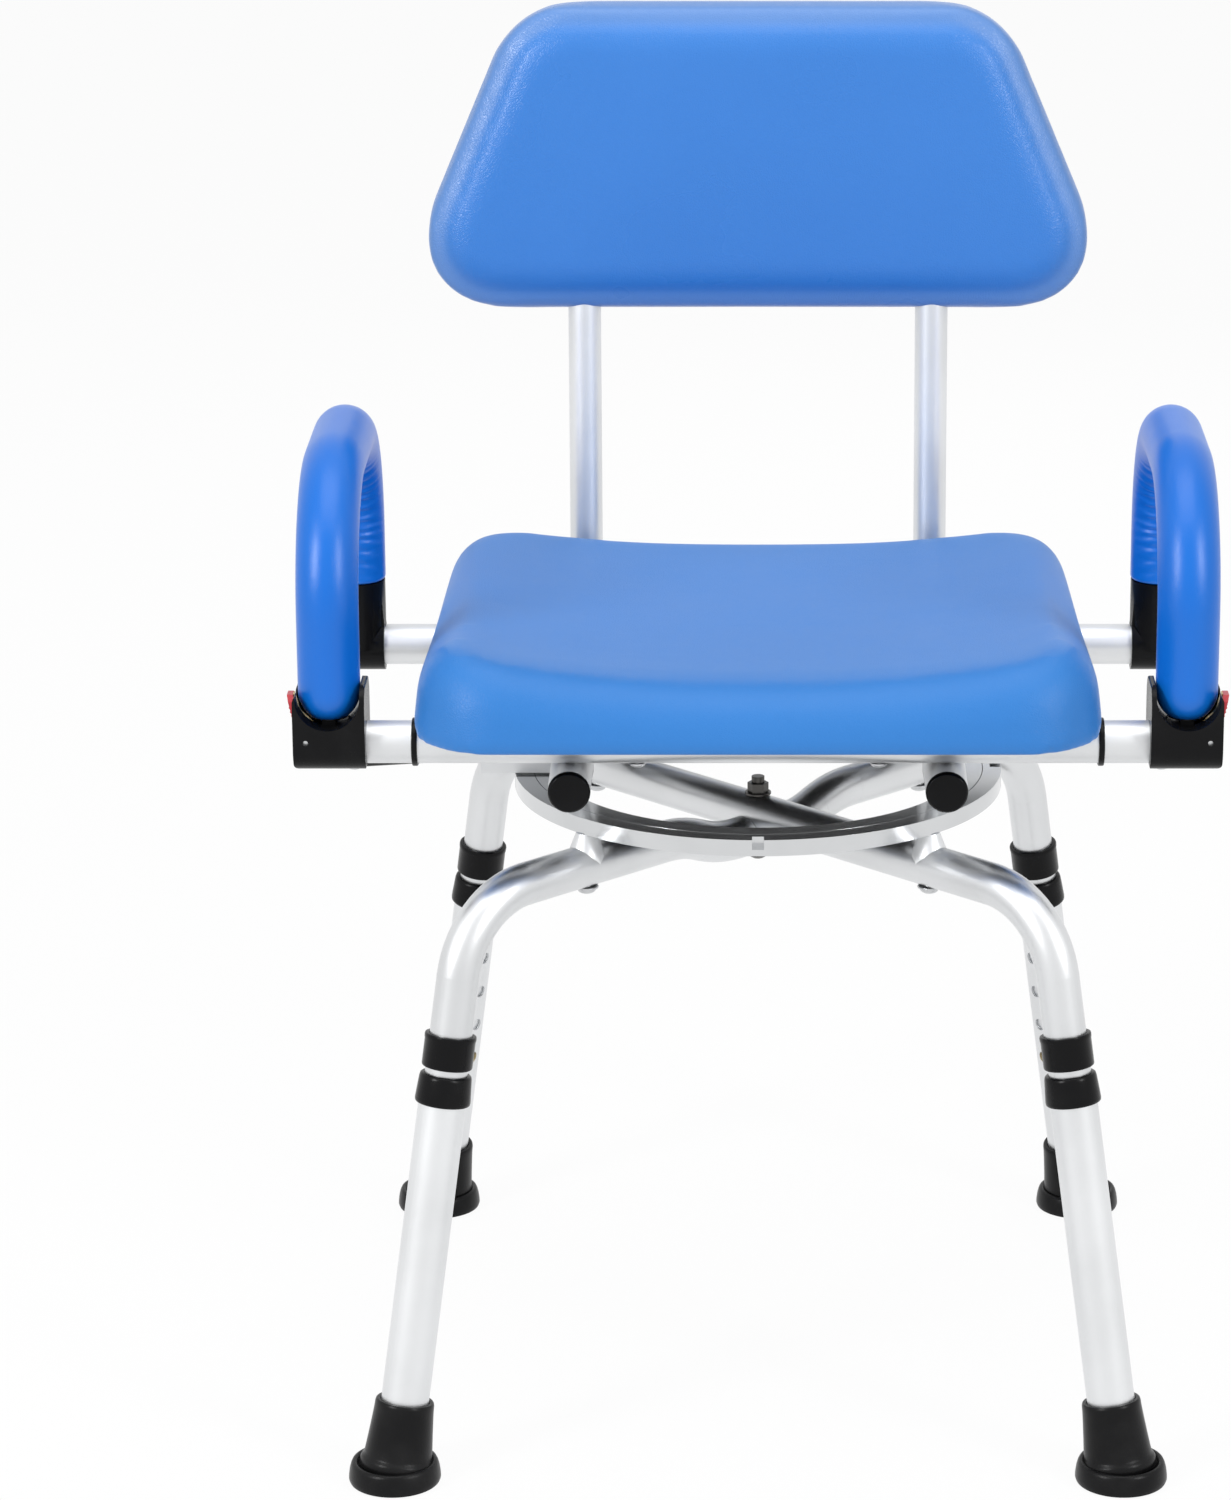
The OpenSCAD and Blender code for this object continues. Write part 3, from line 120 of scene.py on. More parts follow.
class NodeSheet:
    """A new material's node tree, with short calls to add and join nodes."""

    def __init__(self, name: str) -> None:
        """Starts an empty node tree with a Principled shader and an output.

        Args:
            name: The material's name.
        """
        self.material = bpy.data.materials.new(name)
        self.material.use_nodes = True
        self.tree = self.material.node_tree
        self.tree.nodes.clear()
        self.shader = self.add("ShaderNodeBsdfPrincipled")
        output = self.add("ShaderNodeOutputMaterial")
        self.join(self.shader, "BSDF", output, "Surface")
        self.place = self.add("ShaderNodeTexCoord")

    def add(self, kind: str, **values: object) -> bpy.types.Node:
        """Adds a node.

        Args:
            kind: Blender's name of the node type.
            values: Attributes set on the node.

        Returns:
            The new node.
        """
        node = self.tree.nodes.new(kind)
        for key, value in values.items():
            setattr(node, key, value)
        return node

    def join(self, a: bpy.types.Node, out: str, b: bpy.types.Node, into: str | int) -> None:
        """Links output out of node a to input into of node b."""
        self.tree.links.new(a.outputs[out], b.inputs[into])

    def noise(self, scale: float, detail: float = 3.0,
              stretch: tuple[float, float, float] = (1, 1, 1)) -> bpy.types.Node:
        """Adds a noise texture on Object coordinates.

        Args:
            scale: Features per metre.
            detail: Octaves of finer noise.
            stretch: Scale of the coordinates on each axis.

        Returns:
            The noise node.
        """
        node = self.add("ShaderNodeTexNoise")
        node.inputs["Scale"].default_value = scale
        node.inputs["Detail"].default_value = detail
        turn = self.add("ShaderNodeMapping")
        turn.inputs["Scale"].default_value = stretch
        self.join(self.place, "Object", turn, "Vector")
        self.join(turn, "Vector", node, "Vector")
        return node

    def ramp(self, source: bpy.types.Node, out: str, low: tuple, high: tuple,
             start: float = 0.3, end: float = 0.7) -> bpy.types.Node:
        """Adds a colour ramp between two colours.

        Args:
            source: Node whose output drives the ramp.
            out: Name of that output.
            low: Colour at the ramp's start.
            high: Colour at the ramp's end.
            start: Where the ramp starts.
            end: Where the ramp ends.

        Returns:
            The ramp node.
        """
        node = self.add("ShaderNodeValToRGB")
        node.color_ramp.interpolation = "EASE"
        node.color_ramp.elements[0].position = start
        node.color_ramp.elements[1].position = end
        node.color_ramp.elements[0].color = (*low, 1)
        node.color_ramp.elements[1].color = (*high, 1)
        self.join(source, out, node, "Fac")
        return node

    def spread(self, source: bpy.types.Node, out: str, low: float, high: float) -> bpy.types.Node:
        """Adds a range map from 0..1 to low..high.

        Args:
            source: Node whose output is mapped.
            out: Name of that output.
            low: Result at 0.
            high: Result at 1.

        Returns:
            The map node, whose output is Result.
        """
        node = self.add("ShaderNodeMapRange")
        node.inputs["To Min"].default_value = low
        node.inputs["To Max"].default_value = high
        self.join(source, out, node, "Value")
        return node

    def bump(self, source: bpy.types.Node, out: str, depth: float, strength: float,
             after: bpy.types.Node | None = None) -> bpy.types.Node:
        """Adds a bump of a height map, after an earlier bump where one is given.

        Args:
            source: Node with the height.
            out: Name of the height output.
            depth: Height in metres between black and white.
            strength: Share of the effect.
            after: An earlier bump node.

        Returns:
            The bump node.
        """
        node = self.add("ShaderNodeBump")
        node.inputs["Distance"].default_value = depth
        node.inputs["Strength"].default_value = strength
        self.join(source, out, node, "Height")
        if after is not None:
            self.join(after, "Normal", node, "Normal")
        return node

    def normal(self, bump: bpy.types.Node) -> None:
        """Puts a bump on the shader."""
        self.join(bump, "Normal", self.shader, "Normal")


@dataclass(frozen=True)
class FoamSkin:
    """Blue integral-skin foam with a fine leathery grain."""

    name: str
    colour: tuple[float, float, float]
    shade: tuple[float, float, float]
    # Paler, greyer blue painted on the flange band: a painted sheen of glancing light.
    rim_colour: tuple[float, float, float] = (0.115, 0.260, 0.600)
    gloss: tuple[float, float] = (0.36, 0.46)
    grain_depth: float = 0.00035
    grain_scale: float = 620.0
    specular: float = 0.32

    def make(self) -> bpy.types.Material:
        """Returns the finished material."""
        sheet = NodeSheet(self.name)
        cloud = sheet.noise(9.0, 4.0)
        colour = sheet.ramp(cloud, "Fac", self.shade, self.colour, 0.15, 0.8)
        # The flange band marked by the rim attribute is mixed to the paler colour, a painted sheen.
        rim = sheet.add("ShaderNodeAttribute", attribute_name=RIM)
        rim_sheen_mix = sheet.add("ShaderNodeMix", data_type="RGBA")
        sheet.join(rim, "Fac", rim_sheen_mix, "Factor")
        sheet.tree.links.new(colour.outputs["Color"], rim_sheen_mix.inputs[6])
        rim_sheen_mix.inputs[7].default_value = (*self.rim_colour, 1)
        sheet.tree.links.new(rim_sheen_mix.outputs[2], sheet.shader.inputs["Base Color"])
        cells = sheet.add("ShaderNodeTexVoronoi", feature="DISTANCE_TO_EDGE")
        cells.inputs["Scale"].default_value = self.grain_scale
        sheet.join(sheet.place, "Object", cells, "Vector")
        crease = sheet.ramp(cells, "Distance", (0, 0, 0), (1, 1, 1), 0.0, 0.18)
        fine = sheet.noise(self.grain_scale * 1.7, 2.0)
        rough = sheet.spread(cloud, "Fac", *self.gloss)
        sheet.join(rough, "Result", sheet.shader, "Roughness")
        wave = sheet.noise(26.0, 2.0)
        soft = sheet.bump(wave, "Fac", 0.0012, 0.25)
        grain = sheet.bump(crease, "Color", self.grain_depth, 0.25, soft)
        sheet.normal(sheet.bump(fine, "Fac", self.grain_depth * 0.6, 0.2, grain))
        sheet.shader.inputs["Specular IOR Level"].default_value = self.specular
        return sheet.material


@dataclass(frozen=True)
class SatinMetal:
    """Drawn or plated metal with faint drawing lines and cloudy gloss."""

    name: str
    colour: tuple[float, float, float]
    gloss: tuple[float, float]
    line_depth: float = 0.00004
    lines: tuple[float, float, float] = (1.0, 1.0, 0.06)

    def make(self) -> bpy.types.Material:
        """Returns the finished material."""
        sheet = NodeSheet(self.name)
        cloud = sheet.noise(14.0, 5.0)
        dim = tuple(0.93 * c for c in self.colour)
        colour = sheet.ramp(cloud, "Fac", dim, self.colour, 0.3, 0.65)
        sheet.join(colour, "Color", sheet.shader, "Base Color")
        sheet.shader.inputs["Metallic"].default_value = 1.0
        drawn = sheet.noise(900.0, 3.0, self.lines)
        scuff = sheet.noise(60.0, 6.0)
        worn = sheet.add("ShaderNodeMath", operation="MULTIPLY_ADD")
        worn.inputs[1].default_value = 0.5
        sheet.join(scuff, "Fac", worn, 0)
        half = sheet.add("ShaderNodeMath", operation="MULTIPLY")
        half.inputs[1].default_value = 0.5
        sheet.join(drawn, "Fac", half, 0)
        sheet.join(half, "Value", worn, 2)
        rough = sheet.spread(worn, "Value", *self.gloss)
        sheet.join(rough, "Result", sheet.shader, "Roughness")
        sheet.normal(sheet.bump(drawn, "Fac", self.line_depth, 0.25))
        return sheet.material


@dataclass(frozen=True)
class MouldedPlastic:
    """Moulded plastic or rubber with a fine spark texture and dusty variation."""

    name: str
    colour: tuple[float, float, float]
    dust: tuple[float, float, float]
    gloss: tuple[float, float]
    grain_scale: float = 1500.0
    grain_depth: float = 0.00012
    specular: float = 0.5

    def make(self) -> bpy.types.Material:
        """Returns the finished material."""
        sheet = NodeSheet(self.name)
        cloud = sheet.noise(35.0, 6.0)
        colour = sheet.ramp(cloud, "Fac", self.colour, self.dust, 0.42, 0.8)
        sheet.join(colour, "Color", sheet.shader, "Base Color")
        spark = sheet.noise(self.grain_scale, 2.0)
        rough = sheet.spread(cloud, "Fac", *self.gloss)
        sheet.join(rough, "Result", sheet.shader, "Roughness")
        sheet.normal(sheet.bump(spark, "Fac", self.grain_depth, 0.4))
        sheet.shader.inputs["Specular IOR Level"].default_value = self.specular
        return sheet.material


SEAT_SKIN = FoamSkin("seat_skin", (0.039, 0.209, 0.590), (0.035, 0.199, 0.570), gloss=(0.34, 0.44),
                     specular=0.24)
BACK_SKIN = FoamSkin("back_skin", (0.045, 0.214, 0.632), (0.040, 0.203, 0.610), gloss=(0.24, 0.33),
                     specular=0.38)
SLEEVE_SKIN = FoamSkin("sleeve_skin", (0.0024, 0.152, 0.630), (0.0020, 0.142, 0.605), gloss=(0.27, 0.35),
                       grain_depth=0.00010, grain_scale=900.0, specular=0.42)
ALUMINIUM = SatinMetal("satin_aluminium", (0.76, 0.77, 0.78), (0.36, 0.50))
BENT_ALUMINIUM = SatinMetal("bent_aluminium", (0.71, 0.72, 0.73), (0.28, 0.40), lines=(1.0, 1.0, 1.0))
# Ring aluminium darker than the tubes' aluminium: the darker base colour is painted shade for the seat's dark
# underside seen in the ring.
RING_METAL = SatinMetal("ring_aluminium", (0.66, 0.67, 0.68), (0.14, 0.24), lines=(1.0, 1.0, 0.05))
ZINC = SatinMetal("zinc_steel", (0.60, 0.61, 0.62), (0.22, 0.36))
# Near-black steel for the cross bolt: painted shade, standing in for the seat's dark underside that the bolt
# reflects.
SHADE_PAINTED_STEEL = SatinMetal("blackened_steel", (0.085, 0.082, 0.078), (0.24, 0.38), lines=(1.0, 1.0, 1.0))
BRASS = SatinMetal("spring_brass", (0.74, 0.56, 0.24), (0.20, 0.34))
BLACK = MouldedPlastic("black_moulding", (0.0040, 0.0040, 0.0045), (0.0085, 0.0085, 0.0090), (0.20, 0.32),
                       specular=0.13)
RUBBER = MouldedPlastic("foot_rubber", (0.0050, 0.0050, 0.0055), (0.0120, 0.0120, 0.0125), (0.26, 0.38),
                        900.0, 0.0002, 0.15)
DIP = MouldedPlastic("dipped_grip", (0.0030, 0.0030, 0.0034), (0.0055, 0.0055, 0.0060), (0.08, 0.15),
                     120.0, 0.0003, 0.40)
RED = MouldedPlastic("red_moulding", (0.66, 0.052, 0.066), (0.58, 0.040, 0.054), (0.24, 0.36), specular=0.35)
BOARD = MouldedPlastic("seat_board", (0.006, 0.006, 0.0065), (0.012, 0.012, 0.0125), (0.5, 0.65),
                       500.0, 0.0003, 0.15)


class Palette:
    """The finishes, each made once and shared by its pieces."""

    def __init__(self) -> None:
        """Starts with no material made."""
        self.made: dict[str, bpy.types.Material] = {}

    def get(self, finish: FoamSkin | SatinMetal | MouldedPlastic) -> bpy.types.Material:
        """Returns the material of a finish, made on its first use."""
        if finish.name not in self.made:
            self.made[finish.name] = finish.make()
        return self.made[finish.name]


# Mesh helpers


def to_object(bm: bmesh.types.BMesh, name: str, material: bpy.types.Material,
              smooth: float = 35.0) -> bpy.types.Object:
    """Makes an object at the origin from a bmesh.

    Args:
        bm: The mesh; it is freed.
        name: The piece's name.
        material: Its finish.
        smooth: Edges flatter than this angle, in degrees, shade smooth.

    Returns:
        The new object, linked to the scene.
    """
    bmesh.ops.recalc_face_normals(bm, faces=bm.faces)
    for face in bm.faces:
        face.smooth = True
    for edge in bm.edges:
        edge.smooth = len(edge.link_faces) != 2 or edge.calc_face_angle(0.0) < math.radians(smooth)
    mesh = bpy.data.meshes.new(name)
    bm.to_mesh(mesh)
    bm.free()
    mesh.materials.append(material)
    piece = bpy.data.objects.new(name, mesh)
    bpy.context.scene.collection.objects.link(piece)
    return piece


def place(piece: bpy.types.Object, body: str, nodes: tuple[str, ...]) -> bpy.types.Object:
    """Makes a piece ride on a body in place of some nodes.

    Args:
        piece: The piece.
        body: Name of the body that it moves with.
        nodes: Nodes that it stands for.

    Returns:
        The piece.
    """
    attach(piece, body)
    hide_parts(*nodes)
    LOG.info("%s on %s: %d faces", piece.name, body, len(piece.data.polygons))
    return piece


def turned(bm: bmesh.types.BMesh, profile: list[tuple[float, float]], steps: int = 64,
           ring: bool = False) -> list[bmesh.types.BMVert]:
    """Spins a profile of (radius, height) points about Z.

    Args:
        bm: Mesh that takes the shape.
        profile: Points from the axis at the foot to the axis at the head, or around a ring's section.
        steps: Facets around.
        ring: Whether the profile closes on itself.

    Returns:
        The vertices of the turned shape.
    """
    before = set(bm.verts)
    row = [bm.verts.new((r, 0, z)) for r, z in profile]
    pairs = list(zip(row, row[1:])) + ([(row[-1], row[0])] if ring else [])
    edges = [bm.edges.new(pair) for pair in pairs]
    bmesh.ops.spin(bm, geom=row + edges, cent=(0, 0, 0), axis=(0, 0, 1), angle=math.tau, steps=steps,
                   use_merge=True)
    verts = [v for v in bm.verts if v not in before]
    bmesh.ops.remove_doubles(bm, verts=verts, dist=1e-6)
    return [v for v in bm.verts if v not in before]


def drawn_on(bm: bmesh.types.BMesh, loop: list[bmesh.types.BMEdge]) -> tuple[list, list]:
    """Extrudes an open end.

    Args:
        bm: Mesh that holds the end.
        loop: The end's edges.

    Returns:
        The new end's vertices and edges.
    """
    made = bmesh.ops.extrude_edge_only(bm, edges=loop)["geom"]
    verts = [g for g in made if isinstance(g, bmesh.types.BMVert)]
    fresh = set(verts)
    edges = [g for g in made if isinstance(g, bmesh.types.BMEdge) and fresh.issuperset(g.verts)]
    return verts, edges


def on_leg(corner: Corner) -> Matrix:
    """Returns the place of a leg: its foot's middle on the floor, with +Z up the leaning leg."""
    turn = Matrix.Rotation(math.radians(corner.value), 4, "Z")
    return turn @ Matrix.Translation((FOOT_OUT, 0, 0)) @ Matrix.Rotation(math.radians(-LEG_LEAN), 4, "Y")


def on_posts() -> Matrix:
    """Returns the place of the back posts' line, with +Z up the leaning posts."""
    return Matrix.Translation((0, POST_Y, RUNNER_Z)) @ Matrix.Rotation(math.radians(-POST_LEAN), 4, "X")


def held(value: float) -> float:
    """Returns a value kept between 0 and 1."""
    return min(1.0, max(0.0, value))


def move(bm: bmesh.types.BMesh, verts: list[bmesh.types.BMVert], matrix: Matrix) -> None:
    """Transforms some vertices by a matrix."""
    bmesh.ops.transform(bm, matrix=matrix, verts=verts)


# Soft pads


@dataclass
class Inflation:
    """Cloth settings that swell a pad's skin by a capped amount."""

    voxel: float = 0.005
    pressure: float = 4.0
    cap: float = 0.003
    frames: int = 12
    quality: int = 5
    mass: float = 0.4

    def swell(self, piece: bpy.types.Object, hold: Callable[[Vector], float]) -> None:
        """Remeshes a pad, swells it as cloth, and caps how far each point moves.

        Args:
            piece: The pad; its mesh is replaced.
            hold: Share of the movement that a point may keep, from its place.
        """
        remesh = piece.modifiers.new("even_skin", "REMESH")
        remesh.mode = "VOXEL"
        remesh.voxel_size = self.voxel
        self._apply(piece)
        rest = [v.co.copy() for v in piece.data.vertices]
        cloth = piece.modifiers.new("swell", "CLOTH")
        cloth.settings.use_pressure = True
        cloth.settings.uniform_pressure_force = self.pressure
        cloth.settings.effector_weights.gravity = 0.0
        cloth.settings.quality = self.quality
        cloth.settings.mass = self.mass
        cloth.point_cache.frame_start = 1
        cloth.point_cache.frame_end = self.frames
        for frame_no in range(1, self.frames + 1):
            bpy.context.scene.frame_set(frame_no)
        self._apply(piece)
        bpy.context.scene.frame_set(1)
        for vert, old in zip(piece.data.vertices, rest):
            step = vert.co - old
            if step.length > self.cap:
                step *= self.cap / step.length
            vert.co = old + step * hold(old)

    @staticmethod
    def _apply(piece: bpy.types.Object) -> None:
        """Turns a piece's modifiers into its mesh.

        Args:
            piece: The piece.
        """
        graph = bpy.context.evaluated_depsgraph_get()
        mesh = bpy.data.meshes.new_from_object(piece.evaluated_get(graph))
        old = piece.data
        piece.modifiers.clear()
        piece.data = mesh
        bpy.data.meshes.remove(old)


def soften(piece: bpy.types.Object, rounds: int, factor: float = 0.5, above: float = -1.0) -> None:
    """Relaxes a mesh's points towards their neighbours.

    Args:
        piece: The piece.
        rounds: How many times.
        factor: Share of the way each time.
        above: Height below which points stay where they are.
    """
    bm = bmesh.new()
    bm.from_mesh(piece.data)
    verts = [v for v in bm.verts if v.co.z > above]
    for _ in range(rounds):
        bmesh.ops.smooth_vert(bm, verts=verts, factor=factor, use_axis_x=True, use_axis_y=True,
                              use_axis_z=True)
    for face in bm.faces:
        face.smooth = True
    bm.to_mesh(piece.data)
    bm.free()


def subdivide(piece: bpy.types.Object) -> None:
    """Adds one live level of subdivision.

    Args:
        piece: The piece.
    """
    level = piece.modifiers.new("smooth_skin", "SUBSURF")
    level.levels = 1
    level.render_levels = 1


@dataclass
class SeatPad:
    """Moulded seat: dished between raised sides, with a rolled front edge."""

    front_w: float = 0.402
    rear_w: float = 0.390
    front: float = -0.190
    rear: float = 0.186
    corner: float = 0.052
    foot: float = 0.44386
    crown: float = 0.0285
    side_rise: float = 0.0195
    end_rise: float = 0.008
    edge: float = 0.022
    roll: float = 0.007
    roll_reach: float = 0.060
    flare: float = 0.0030
    draft: float = 0.0055
    board_margin: float = 0.028
    board_sink: float = 0.003
    blank: float = 0.040
    foot_round: float = 0.003
    side_power: float = 2.4
    side_level: float = 0.9
    front_gain: float = 0.35
    rear_loss: float = 0.08
    end_bias: float = 0.35
    half_cuts: int = 12
    cuts_along: int = 22
    firm: float = 0.009
    still: float = 0.006
    ease: float = 0.012
    swell: Inflation = field(default_factory=lambda: Inflation(voxel=0.0044, cap=0.0020))

    def height(self, x: float, y: float) -> float:
        """Works out the dished top.

        Args:
            x: Place across the seat.
            y: Place along it.

        Returns:
            The top's height over the underside there.
        """
        middle = (self.front + self.rear) / 2
        across = min(1.0, abs(2 * x / self.front_w))
        along = (y - middle) / ((self.rear - self.front) / 2)
        tilt = self.front_gain if along < 0 else self.rear_loss
        sides = self.side_rise * across ** self.side_power * (self.side_level - tilt * along)
        ends = self.end_rise * along ** 2 * (1 - self.end_bias * along)
        near = max(0.0, (self.front + self.roll_reach - y) / self.roll_reach)
        return self.crown + sides + ends - self.roll * near ** 2

    def build(self, palette: Palette) -> bpy.types.Object:
        """Builds the seat.

        Args:
            palette: The shared finishes.

        Returns:
            The seat's piece.
        """
        bm = bmesh.new()
        self._blank(bm)
        self._slice(bm)
        self._shape(bm)
        piece = to_object(bm, "seat_cushion", palette.get(SEAT_SKIN), 180)
        self.swell.swell(piece, self._free)
        soften(piece, 1)
        soften(piece, 3, above=self.foot + self.firm)
        subdivide(piece)
        place(piece, "seat", ("seat_pad",))
        return piece

    def _blank(self, bm: bmesh.types.BMesh) -> None:
        """Makes the flat blank with round corners and a rounded upper edge.

        Args:
            bm: Mesh that takes the blank.
        """
        half_f, half_r = self.front_w / 2, self.rear_w / 2
        ring = [bm.verts.new(p) for p in ((-half_f, self.front, 0), (half_f, self.front, 0),
                                          (half_r, self.rear, 0), (-half_r, self.rear, 0))]
        bm.faces.new(ring)
        bmesh.ops.bevel(bm, geom=list(bm.verts), offset=self.corner, offset_type="OFFSET", segments=10,
                        profile=0.5, affect="VERTICES", material=-1)
        top = bmesh.ops.extrude_face_region(bm, geom=list(bm.faces))
        raised = [v for v in top["geom"] if isinstance(v, bmesh.types.BMVert)]
        bmesh.ops.translate(bm, verts=raised, vec=(0, 0, self.blank))
        bmesh.ops.recalc_face_normals(bm, faces=bm.faces)
        rims = [e for e in bm.edges if all(v.co.z > self.blank - 1e-6 for v in e.verts)]
        bmesh.ops.bevel(bm, geom=rims, offset=self.edge, offset_type="OFFSET", segments=6, profile=0.5,
                        affect="EDGES", material=-1)
        foot = [e for e in bm.edges if all(v.co.z < 1e-6 for v in e.verts)]
        bmesh.ops.bevel(bm, geom=foot, offset=self.foot_round, offset_type="OFFSET", segments=3, profile=0.5,
                        affect="EDGES", material=-1)

    def _slice(self, bm: bmesh.types.BMesh) -> None:
        """Cuts the blank into small faces, so that it can take the dished shape.

        Args:
            bm: Mesh that holds the blank.
        """
        half, n = self.front_w / 2, self.half_cuts
        cuts = [((x / n * half, 0, 0), (1, 0, 0)) for x in range(1 - n, n)]
        step = (self.rear - self.front) / self.cuts_along
        cuts += [((0, self.front + step * i, 0), (0, 1, 0)) for i in range(1, self.cuts_along)]
        cuts += [((0, 0, 0.004 + 0.003 * i), (0, 0, 1)) for i in range(1, 6)]
        for point, normal in cuts:
            bmesh.ops.bisect_plane(bm, geom=list(bm.verts) + list(bm.edges) + list(bm.faces),
                                   plane_co=point, plane_no=normal)

    def _shape(self, bm: bmesh.types.BMesh) -> None:
        """Lifts the blank to its crown, leans the flanks out and sinks the underside at the board.

        Args:
            bm: Mesh that holds the sliced blank.
        """
        half_f = self.front_w / 2
        middle = (self.front + self.rear) / 2
        half_l = (self.rear - self.front) / 2
        for vert in bm.verts:
            share = vert.co.z / self.blank
            lift = self.height(vert.co.x, vert.co.y) * share
            flank = max(abs(vert.co.x) / half_f, abs(vert.co.y - middle) / half_l)
            inside = (abs(vert.co.x) < self.rear_w / 2 - self.board_margin
                      and abs(vert.co.y - middle) < half_l - self.board_margin)
            lean = self.flare - (self.flare + self.draft) * share
            lean *= held((flank - 0.7) / 0.22)
            vert.co.x *= 1 + lean / half_f
            vert.co.y = middle + (vert.co.y - middle) * (1 + lean / half_l)
            if share < 0.01 and inside:
                lift = self.board_sink
            vert.co.z = self.foot + lift

    def _free(self, point: Vector) -> float:
        """Returns how freely a point may swell: not at all on the underside."""
        return held((point.z - self.foot - self.still) / self.ease)


@dataclass
class BackPad:
    """Moulded backrest: a flared shell whose flange frames a raised front panel."""

    low_w: float = 0.420
    high_w: float = 0.340
    height: float = 0.194
    thick: float = 0.044
    corner: float = 0.050
    foot: float = 0.219
    flange: float = 0.0355
    band: float = 0.0125
    flange_round: float = 0.006
    rear_round: float = 0.011
    roll: float = 0.017
    roll_steps: int = 8
    crown: float = 0.0012
    crown_half_w: float = 0.19
    crown_half_h: float = 0.09
    swell: Inflation = field(default_factory=lambda: Inflation(voxel=0.0036, cap=0.0008))

    def build(self, palette: Palette) -> bpy.types.Object:
        """Builds the backrest.

        Args:
            palette: The shared finishes.

        Returns:
            The backrest's piece.
        """
        bm = bmesh.new()
        self._shell(bm)
        self._panel(bm)
        piece = to_object(bm, "back_cushion", palette.get(BACK_SKIN), 180)
        self.swell.swell(piece, lambda point: 1.0)
        soften(piece, 2)
        self._finish_skin(piece.data)
        piece.data.transform(on_posts())
        subdivide(piece)
        place(piece, "seat", ("backrest_pad",))
        return piece

    def _shell(self, bm: bmesh.types.BMesh) -> None:
        """Makes the flange's plate with its round corners and edges.

        Args:
            bm: Mesh that takes the plate.
        """
        rear = self.thick / 2
        low, high = self._sharp_halves()
        top = self.foot + self.height
        bm.faces.new([bm.verts.new(p) for p in (
            (-low, rear, self.foot), (low, rear, self.foot), (high, rear, top), (-high, rear, top))])
        self._round_corners(bm)
        made = bmesh.ops.extrude_face_region(bm, geom=list(bm.faces))
        front = [v for v in made["geom"] if isinstance(v, bmesh.types.BMVert)]
        bmesh.ops.translate(bm, verts=front, vec=(0, -self.flange, 0))
        bmesh.ops.recalc_face_normals(bm, faces=bm.faces)
        for at, size in ((rear - self.flange, self.flange_round), (rear, self.rear_round)):
            edges = [e for e in bm.edges if all(abs(v.co.y - at) < 1e-6 for v in e.verts)]
            bmesh.ops.bevel(bm, geom=edges, offset=size, offset_type="OFFSET", segments=6, profile=0.5,
                            affect="EDGES", material=-1)

    def _panel(self, bm: bmesh.types.BMesh) -> None:
        """Raises the front panel from the flange and rolls its edge.

        Args:
            bm: Mesh that holds the plate.
        """
        bm.normal_update()
        face = max((f for f in bm.faces if f.normal.y < -0.99), key=lambda f: f.calc_area())
        bmesh.ops.inset_region(bm, faces=[face], thickness=self.band - self.flange_round, depth=0.0)
        rise = self.thick - self.flange - self.crown
        inward, lifted = 0.0, 0.0
        for step in range(1, self.roll_steps + 1):
            angle = math.pi / 2 * step / self.roll_steps
            reach, height = self.roll * (1 - math.cos(angle)) + 0.0003, rise * math.sin(angle)
            bmesh.ops.inset_region(bm, faces=[face], thickness=reach - inward, depth=0.0)
            bmesh.ops.translate(bm, verts=list(face.verts), vec=(0, lifted - height, 0))
            inward, lifted = reach, height

    def _finish_skin(self, mesh: bpy.types.Mesh) -> None:
        """Crowns the panel a little and marks the flange for its painted sheen, a paler colour.

        Args:
            mesh: The swelled skin.
        """
        rim = mesh.attributes.new(RIM, "FLOAT", "POINT")
        middle = self.foot + self.height / 2
        front = self.thick / 2 - self.flange
        for vert, mark in zip(mesh.vertices, rim.data):
            near = held((front - 0.003 - vert.co.y) / 0.005)
            across = max(0.0, 1 - (vert.co.x / self.crown_half_w) ** 2)
            flat = across * max(0.0, 1 - ((vert.co.z - middle) / self.crown_half_h) ** 2)
            above = held((vert.co.y - front + 0.0035) / 0.003)
            behind = held((vert.co.y - self.thick / 2 + 0.012) / 0.008)
            # 1 on the flange band, which gets the painted sheen colour
            mark.value = above * (1 - behind)
            vert.co.y -= self.crown * near * flat

    def _sharp_halves(self) -> tuple[float, float]:
        """Returns the half widths at foot and head of the outline before its corners are rounded."""
        r = self.corner
        slant = math.atan2((self.low_w - self.high_w) / 2, self.height - 2 * r)
        low = self.low_w / 2 - r + r * (1 + math.sin(slant)) / math.cos(slant)
        high = self.high_w / 2 - r + r * (1 - math.sin(slant)) / math.cos(slant)
        return low, high

    def _round_corners(self, bm: bmesh.types.BMesh) -> None:
        """Rounds the outline's four corners to one radius.

        Args:
            bm: Mesh that holds the outline.
        """
        for vert in list(bm.verts):
            a, b = [(e.other_vert(vert).co - vert.co).normalized() for e in vert.link_edges]
            cut = self.corner / math.tan(a.angle(b) / 2)
            bmesh.ops.bevel(bm, geom=[vert], offset=cut, offset_type="OFFSET", segments=12, profile=0.5,
                            affect="VERTICES", material=-1)


